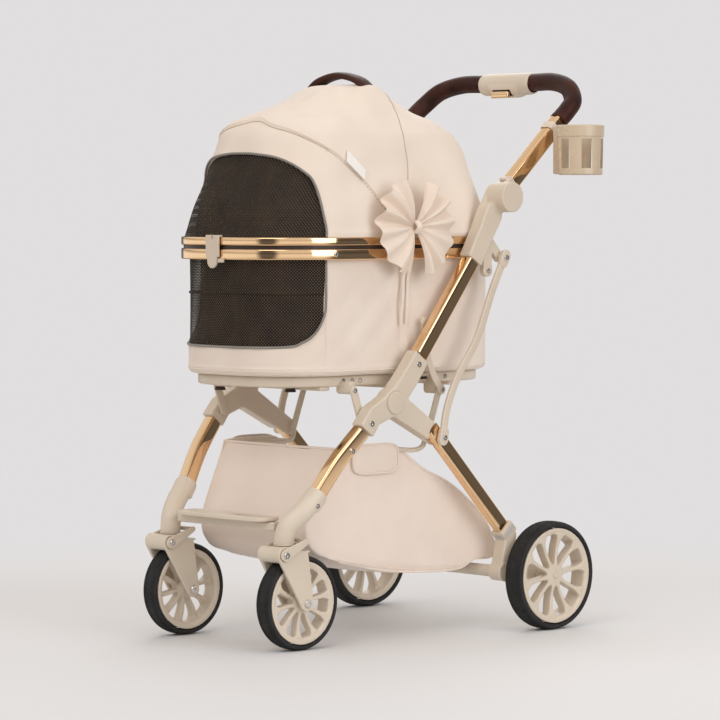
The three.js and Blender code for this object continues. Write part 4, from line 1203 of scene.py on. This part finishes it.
def make_wheel(name, x, axle, r, width, share, body):
    """A tyre with a fine tread on a rim with ten flared windows between its spokes."""
    rim_r, half = r * share, width / 2
    deselect()
    a = np.linspace(0, 1, 61)[:-1]
    shape = []
    for t in a:
        ang = TAU * t
        c, s = math.cos(ang), math.sin(ang)
        shape.append((np.sign(c) * abs(c) ** 0.62, np.sign(s) * abs(s) ** 0.8))
    shape = np.array(shape)
    mid, deep = (r + rim_r) / 2 + 0.0006, (r - rim_r) / 2 - 0.0006
    rows = 900

    def tread(a, b):
        k = np.rint(a * 60).astype(int) % 60
        rad, wide = mid + deep * shape[k, 1], half * shape[k, 0]
        ang = TAU * b
        crown = eased((shape[k, 1] - 0.55) / 0.3)
        row = b * 120
        block = np.abs(((row + 3.0 * wide / half) % 1) - 0.5) + np.abs(((row - 3.0 * wide / half) % 1) - 0.5)
        rad = rad - 0.0016 * crown * (np.clip(block, 0.28, 0.55) - 0.28) / 0.27
        line = np.exp(-((rad - (rim_r + (r - rim_r) * 0.35)) / 0.0012) ** 2)
        wide = wide + np.sign(wide) * 0.0006 * line
        return x + wide, axle[0] + rad * np.cos(ang), axle[1] + rad * np.sin(ang)

    tyre = skin(name + "_tyre_rubber", 61, rows, tread)
    keep(smooth(tyre, 35), body, "tyre_rubber", RUBBER, name + "_tyre")

    inner = rim_r - 0.0095
    hub_r = r * 0.17
    lip_half = [(inner - 0.001, half * 0.80), (rim_r - 0.003, half * 0.98), (rim_r + 0.0016, half * 0.96),
                (rim_r + 0.0016, half * 0.86), (rim_r, half * 0.80)]
    lip_profile = [(rad, -wide) for rad, wide in lip_half[::-1]] + [(inner, 0)] + lip_half
    lip = turned("lip", lip_profile, (0, 0, 0), 120)
    hub_profile = [(0, -half * 0.80), (hub_r * 0.8, -half * 0.80), (hub_r, -half * 0.55), (hub_r, half * 0.5),
                   (hub_r * 0.86, half * 0.82), (0, half * 0.86)]
    hub = turned("hub", hub_profile, (0, 0, 0), 64)
    spokes = []
    for k in range(10):
        deselect()
        bpy.ops.mesh.primitive_grid_add(x_subdivisions=2, y_subdivisions=14, size=1)
        blade = new("spoke")
        flat = points(blade) + 0.5
        b = flat[:, 1]
        rad = hub_r * 0.8 + (inner + 0.002 - hub_r * 0.8) * b
        flare = 0.0028 + 0.0016 * b + 0.0075 * np.clip((b - 0.72) / 0.28, 0, 1) ** 2.2 * (r / 0.1)
        flare = flare + 0.004 * np.clip((0.25 - b) / 0.25, 0, 1) ** 2
        across = (flat[:, 0] - 0.5) * 2 * flare
        deep_out = half * (0.62 - 0.22 * np.sin(math.pi * b) + 0.16 * b)
        put(blade, np.stack([deep_out, rad, across], 1))
        modify(blade, "SOLIDIFY", thickness=half * 1.0, offset=0)
        co = points(blade)
        co[:, 0] -= half * 0.32
        ang = TAU * k / 10 + 0.16
        c, s = math.cos(ang), math.sin(ang)
        put(blade, np.stack([co[:, 0], co[:, 1] * c - co[:, 2] * s, co[:, 1] * s + co[:, 2] * c], 1))
        spokes.append(tidy_mesh(blade))
    bore = turned("bore", [(0, -0.05), (0.0055, -0.05), (0.0055, 0.05), (0, 0.05)], (0, 0, 0), 24)
    voxel = 0.00125 if r < 0.09 else 0.0014
    rim = casting(name + "_rim_casting", [lip, hub] + spokes, [bore], voxel, 4, 0.45)
    if x < 0:
        mirrored(rim, -1)
    moved(rim, x, *axle)
    keep(rim, body, "beige_plastic", BEIGE, name + "_rim")
    return rim


def make_handle_side(label, side):
    arm_start, tube_start = toward(JOINT, GRIP_START, 0.030), toward(JOINT, GRIP_START, 0.040)
    solids = [plate("d", ring_points(JOINT, 0.0278, 64), 0.2014, 0.2200, 0),
              plate("d", arm(toward(JOINT, GRIP_START, 0.008), toward(JOINT, GRIP_START, 0.0395),
                             0.036, 0.034), 0.2115, 0.219, 0),
              plate("d", arm(arm_start, toward(tube_start, JOINT, 0.0003), 0.035, 0.0325), 0.1915, 0.219, 0)]
    well = plate("well", ring_points(JOINT, 0.0203, 64), 0.2106, 0.24, 0)
    eye = plate("eye", ring_points(JOINT, 0.0087), 0.20, 0.216, 0)
    disc = casting("handle_disc_" + label, solids, [well, eye], 0.0013, 5, 0.5)
    keep(mirrored(disc, side), "handle", "beige_plastic", BEIGE, "joint_disc_" + label)
    rim = turned("disc_rim", [(0.0210, -0.0012), (0.0230, -0.0004), (0.0222, 0.0004), (0.0206, 0.0002)],
                 (0.2199, *JOINT), 48)
    keep(mirrored(smooth(rim), side), "handle", "beige_plastic", BEIGE)
    button = turned("handle_button_" + label, [(0, 0), (0.0189, 0), (0.0189, 0.0080), (0.0178, 0.0096),
                                               (0.010, 0.0102), (0, 0.0104)], (0.2136, *JOINT), 48)
    keep(mirrored(smooth(button), side), "joint_release_" + label, "beige_plastic", BEIGE,
         "joint_button_" + label)
    bar = tube("handle_arm_" + label, tube_start, toward(GRIP_START, JOINT, 0.0025), SIDE_X)
    keep(mirrored(bar, side), "handle", "gold_metal", GOLD, "upper_tube_" + label)


def make_grip():
    half = [(0.205, 0.345, 0.947), (0.205, 0.368, 0.966), (0.199, 0.389, 0.985), (0.171, 0.405, 1.010),
            (0.122, 0.416, 1.0225), (0.060, 0.421, 1.023)]
    path = half + [(-x, y, z) for x, y, z in half[::-1]]
    grip = sweep("leather_grip", path, 0.034, 0.034, 40, 260, side=(0, -0.7, 0.7))
    keep(grip, "handle", "brown_leather", LEATHER, "grip")
    line = course(path, 180)
    away = np.stack([np.zeros(180), np.full(180, 0.0118), np.full(180, -0.0121)], 1)
    for part in (slice(2, 62), slice(118, 178)):
        seam = sweep("grip_stitch", (line + away)[part], 0.0022, 0.0022, 8, 200, side=(0, 0, 1),
                     swell=lambda b: 0.45 + 0.55 * (np.sin(b * 90 * math.pi) > -0.2))
        keep(seam, "handle", "brown_leather", LEATHER)
    for side in (1, -1):
        end = sweep("grip_collar", [(side * 0.205, *toward(GRIP_START, JOINT, -0.003)),
                                    (side * 0.205, *toward(GRIP_START, JOINT, 0.003))], 0.0345, 0.0345, 40, 4)
        keep(end, "handle", "brown_leather", LEATHER)


def make_control():
    """The beige sleeve at the middle of the grip, and the gold folding button under it."""
    def sleeve(a, b):
        x = -0.066 + 0.132 * b
        near = np.sqrt(np.clip(1 - (np.abs(2 * b - 1)) ** 14, 0.0, 1))
        ang = TAU * a
        belly = eased((0.1 - np.sin(ang)) / 0.7) * eased((0.33 - np.abs(b - 0.5)) / 0.12)
        flat = 0.0212 + 0.0045 * belly
        r = 0.0178 + (flat - 0.0178) * near
        return x, 0.421 + r * np.cos(ang), 1.021 + r * np.sin(ang)

    shell = skin("control_sleeve", 96, 80, sleeve)
    modify(shell, "SOLIDIFY", thickness=0.0012, offset=-1)
    slot = block("slot", (0.0472, 0.022, 0.022), (0, 0.400, 0.999))
    modify(shell, "BOOLEAN", operation="DIFFERENCE", solver="EXACT", object=slot)
    bpy.data.objects.remove(slot)
    keep(smooth(shell), "handle", "beige_plastic", BEIGE, "control_housing")
    button = block("fold_button", (0.0450, 0.0085, 0.0128), (0, 0.3968, 1.0005))
    modify(button, "BEVEL", width=0.0028, segments=5)
    keep(smooth(button), "handle_release", "gold_metal", GOLD, "release_button")


def make_cup_holder():
    place = toward(JOINT, GRIP_START, 0.185)
    centre, z0, r, tall, wall = (0.288, place[0] - 0.008), place[1] - 0.083, 0.044, 0.092, 0.003
    profile = [(0, 0), (r - 0.006, 0), (r - 0.0025, 0.0012), (r - 0.0030, 0.004), (r - 0.0016, 0.0700),
               (r, 0.0715), (r, tall - 0.002), (r - 0.0015, tall), (r - wall, tall - 0.0005),
               (r - wall, wall), (0, wall)]
    cup = upright(turned("cup_body", profile, (0, 0, 0), 96), *centre, z0)
    tools = []
    opening = wrap(*(((y, z0 + z), 0.002) for y in (-0.008, 0.008) for z in (0.014, 0.064)))
    for k in range(6):
        ang = math.radians(30 + 60 * k)
        slot = plate("slot", opening, r - 0.009, r + 0.004, 0)
        co = points(slot)
        tools.append(put(slot, np.stack([centre[0] + co[:, 0] * math.cos(ang) - co[:, 1] * math.sin(ang),
                                         centre[1] + co[:, 0] * math.sin(ang) + co[:, 1] * math.cos(ang),
                                         co[:, 2]], 1)))
    tool = join("slots", tools)
    modify(cup, "BOOLEAN", operation="DIFFERENCE", solver="EXACT", object=tool)
    bpy.data.objects.remove(tool)
    modify(cup, "BEVEL", width=0.0006, segments=2, limit_method="ANGLE", angle_limit=0.9)
    keep(smooth(cup, 35), "handle", "beige_plastic", CUP, "cup_holder")
    arm_piece = block("cup_bracket", (0.0215, 0.022, tall - 0.003),
                      (0.2372, centre[1] + 0.001, z0 + tall / 2))
    modify(arm_piece, "BEVEL", width=0.003, segments=4)
    keep(smooth(arm_piece), "handle", "beige_plastic", CUP)
    a, b = toward(place, JOINT, 0.008), toward(place, GRIP_START, 0.008)
    collar = sweep("cup_clamp_band", [(SIDE_X, *a), (SIDE_X, *b)], TUBE_W + 0.005, TUBE_H + 0.005, 64, 6,
                   power=4.5)
    core = sweep("core", [(SIDE_X, *toward(place, JOINT, 0.03)), (SIDE_X, *toward(place, GRIP_START, 0.03))],
                 TUBE_W + 0.0006, TUBE_H + 0.0006, 64, 2, power=5)
    modify(collar, "BOOLEAN", operation="DIFFERENCE", solver="EXACT", object=core)
    bpy.data.objects.remove(core)
    modify(collar, "BEVEL", width=0.001, segments=2, limit_method="ANGLE", angle_limit=0.9)
    keep(smooth(collar), "handle", "beige_plastic", BEIGE, "cup_clamp")


def make_crossbar():
    y, z, reach = -0.294, 0.219, FRONT_X - 0.024
    bar = sweep("cross_bar", [(-reach, y, z), (0, y, z), (reach, y, z)], 0.026, 0.016, 48, 12, side=(0, 1, 0),
                power=5)
    keep(bar, "frame", "beige_plastic", BEIGE, "front_crossbar")

    levels = (0, 0.12, 0.3, 0.7, 0.86, 1)

    def deck(a, b):
        ang = TAU * a
        c, s = np.cos(ang), np.sin(ang)
        wide = np.interp(b, levels, (0, 0.965, 1, 1, 0.985, 0))
        deep = np.interp(b, levels, (0, 0.92, 1, 1, 0.955, 0))
        x = 0.118 * np.sign(c) * np.abs(c) ** (2 / 7) * wide
        yy = 0.028 * np.sign(s) * np.abs(s) ** (2 / 5) * deep
        bow = 0.006 * (1 - (x / 0.118) ** 2) * (yy < 0)
        low, high = z + 0.0083, z + 0.016
        zz = np.interp(b, levels, (low, low, low + 0.0015, high - 0.0015, high, high))
        return x, y - 0.006 + yy - bow, zz

    step = skin("foot_step", 160, 24, deck)
    keep(smooth(step, 50), "frame", "beige_plastic", BEIGE, "footrest")


def make_rear_bar():
    tube_profile = [(0, -0.1927), (0.011, -0.1927), (0.011, 0.1927), (0, 0.1927)]
    bar = turned("axle_tube", tube_profile, (0, *AXLE_BAR), 64)
    keep(smooth(bar), "rear_frame", "beige_plastic", BEIGE, "axle_bar")
    pad = block("pad", (0.052, 0.048, 0.008), (0, 0.212, 0.105))
    ring = plate("ring", ring_points(AXLE_BAR, 0.016, 64), -0.030, 0.030, 0)
    room = plate("room", ring_points(AXLE_BAR, 0.0118, 64), -0.05, 0.05, 0)
    pedal = casting("brake_step", [pad, ring], [room], 0.0011, 6, 0.5)
    keep(pedal, "brake", "beige_plastic", BEIGE, "brake_pedal")
    ribs = []
    for k in range(4):
        ends = [(x, 0.205 + 0.007 * k, 0.1088) for x in (-0.020, 0.020)]
        ribs.append(sweep("pedal_rib", ends, 0.0022, 0.0022, 12, 4, side=(0, 1, 0)))
    keep(join("pedal_ribs", ribs), "brake", "beige_plastic", BEIGE)


# ---------------------------------------------------------------- the basket

BASKET_PATH = [(-0.172, 0.350), (-0.205, 0.300), (-0.240, 0.232), (-0.246, 0.205), (-0.236, 0.178),
               (-0.190, 0.150), (-0.060, 0.123), (0.060, 0.113), (0.130, 0.114), (0.166, 0.1275),
               (0.208, 0.1285), (0.222, 0.138)]
BASKET_TOP = [(-0.172, 0.350), (-0.140, 0.352), (-0.090, 0.353), (-0.040, 0.350), (0.000, 0.325),
              (0.034, 0.304),
              (0.095, 0.277), (0.151, 0.240), (0.190, 0.204), (0.214, 0.164), (0.222, 0.138)]


def nose(y):
    """How much narrower each side of the basket is towards its front."""
    return 0.020 * np.clip((-0.146 - y) / 0.104, 0, 1)


def make_basket():
    half = 0.1625
    path = course([(0, y, z) for y, z in BASKET_PATH], 200)[:, 1:]
    top = course([(0, y, z) for y, z in BASKET_TOP], 200)[:, 1:]

    def line(table, b, k):
        return np.interp(b, np.linspace(0, 1, len(table)), table[:, k])

    def cloth(a, b):
        across = np.clip((a - 0.3) / 0.4, 0, 1)
        rise = np.where(a < 0.3, (0.3 - a) / 0.3, np.where(a > 0.7, (a - 0.7) / 0.3, 0))
        y = line(path, b, 0) * (1 - rise) + line(top, b, 0) * rise
        z = line(path, b, 1) * (1 - rise) + line(top, b, 1) * rise
        side = np.where(a < 0.5, -1.0, 1.0)
        bulge = 0.0022 * np.sin(math.pi * rise) * np.sin(math.pi * b)
        x = np.where(rise > 0, side * (half + bulge), half * (2 * across - 1))
        x = x * (1 - nose(y) / half)
        y_flat = y
        y = y + 0.006 * (x / half) ** 2 * eased((0.2 - rise) / 0.2) * eased((0.36 - b) / 0.1)
        corner = eased((0.035 - (half - nose(y_flat) - np.abs(x))) / 0.035)
        sag = np.sin(math.pi * across) ** 0.7 * np.sin(math.pi * np.clip(b * 1.15, 0, 1)) * 0.004
        lift = 0.009 * corner ** 2 * (rise == 0)
        z = z - sag * (b > 0.05) + lift * eased((b - 0.3) / 0.1)
        x = x - side * 0.006 * eased((0.12 - rise) / 0.12) * eased((y + 0.20) / 0.08) * (rise > 0)
        ripple = 0.0006 * np.sin(y * 40 + z * 25) * np.sin(z * 50) + 0.0003 * np.sin(y * 90 - z * 40 + x * 40)
        x = x + side * ripple * (rise > 0)
        z = z + ripple * (rise == 0)
        return x, y, z

    body = skin("basket_cloth", 220, 160, cloth, uv=lambda a, b: (a * 0.9, b * 0.62))
    modify(body, "SMOOTH", factor=0.5, iterations=5)
    modify(body, "SOLIDIFY", thickness=0.0022, offset=-1)
    keep(smooth(body, 60), "frame", "cream_fabric", BASKET_CLOTH, "basket")
    soft = [body]

    # Bound edges, the front seam and the sewn loops over the hanging bars
    for side in (1, -1):
        edge = [(side * (half - nose(y)), y, z + 0.001) for y, z in BASKET_TOP]
        trim = sweep("basket_binding", edge, 0.0042, 0.0048, 14, 140, side=(1, 0, 0), power=2.4)
        keep(trim, "frame", "cream_fabric", BASKET_CLOTH)
        lower = [(side * (half - 0.003 - nose(y)), y + 0.006 * eased((-0.19 - y) / 0.04), z + 0.003)
                 for y, z in BASKET_PATH[5:]]
        piping = sweep("basket_piping", lower, 0.0036, 0.0036, 12, 160, side=(1, 0, 0),
                       swell=lambda b: 0.1 + 0.9 * eased(b / 0.25))
        keep(piping, "frame", "cream_fabric", BASKET_CLOTH)
        soft += [trim, piping]

        def loop(a, b, side=side):
            c, w = np.cos(TAU * a), np.sin(TAU * a)
            y = -0.0925 + b * 0.056 * np.sign(c) * np.abs(c) ** 0.5
            z = 0.3315 + b * 0.0265 * np.sign(w) * np.abs(w) ** 0.45
            return side * (half + 0.0042 + 0.0025 * (1 - b ** 6)), y, z

        tab = skin("basket_patch", 90, 16, loop, uv=lambda a, b: (a * 0.1, b * 0.04))
        modify(tab, "SOLIDIFY", thickness=0.0035, offset=-side)
        keep(smooth(tab, 60), "frame", "cream_fabric", BASKET_CLOTH)
        rim_a = np.linspace(0, 1, 61)
        rim_line = np.stack(loop(rim_a, np.ones(61)), 1) + [side * 0.0014, 0, 0]
        welt = sweep("basket_patch_edge", rim_line, 0.0036, 0.0036, 10, 160, side=(1, 0, 0), closed=True)
        keep(welt, "frame", "cream_fabric", BASKET_CLOTH)
        soft += [tab, welt]
        hoop = [(side * x, y, z) for x, y, z in ((0.160, -0.150, 0.340), (0.160, -0.120, 0.349),
                                                 (0.161, -0.080, 0.3505), (0.164, -0.030, 0.345),
                                                 (0.170, 0.002, 0.343), (0.176, 0.016, 0.349),
                                                 (0.1775, 0.0215, 0.362))]
        wire = sweep("basket_hoop", hoop, 0.009, 0.009, 20, 110, side=(1, 0, 0))
        keep(wire, "frame", "beige_plastic", BEIGE)
    rim = [(x, -0.172 + 0.006 * (x / half) ** 2, 0.351) for x in np.linspace(-half * 0.96, half * 0.96, 9)]
    front = sweep("basket_front_edge", rim, 0.005, 0.005, 14, 80, side=(0, 1, 0))
    keep(front, "frame", "cream_fabric", BASKET_CLOTH)
    soft.append(front)
    for piece in soft:
        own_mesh(piece)


# ---------------------------------------------------------------- building it

for label, side in (("left", 1), ("right", -1)):
    make_side(label, side)
    make_caster(label, side)
    make_handle_side(label, side)
    make_wheel("front_" + label, side * FRONT_X, FRONT_AXLE, FRONT_R, 0.034, 0.856, "front_wheel_" + label)
    make_wheel("rear_" + label, side * REAR_X, REAR_AXLE, REAR_R, 0.040, 0.863, "rear_wheel_" + label)
make_grip()
make_control()
make_cup_holder()
make_crossbar()
make_rear_bar()
make_base()
make_tub()
make_cushion()
make_rings()
make_latch()
make_canopy()
make_carry_handle()
make_bow()
make_basket()
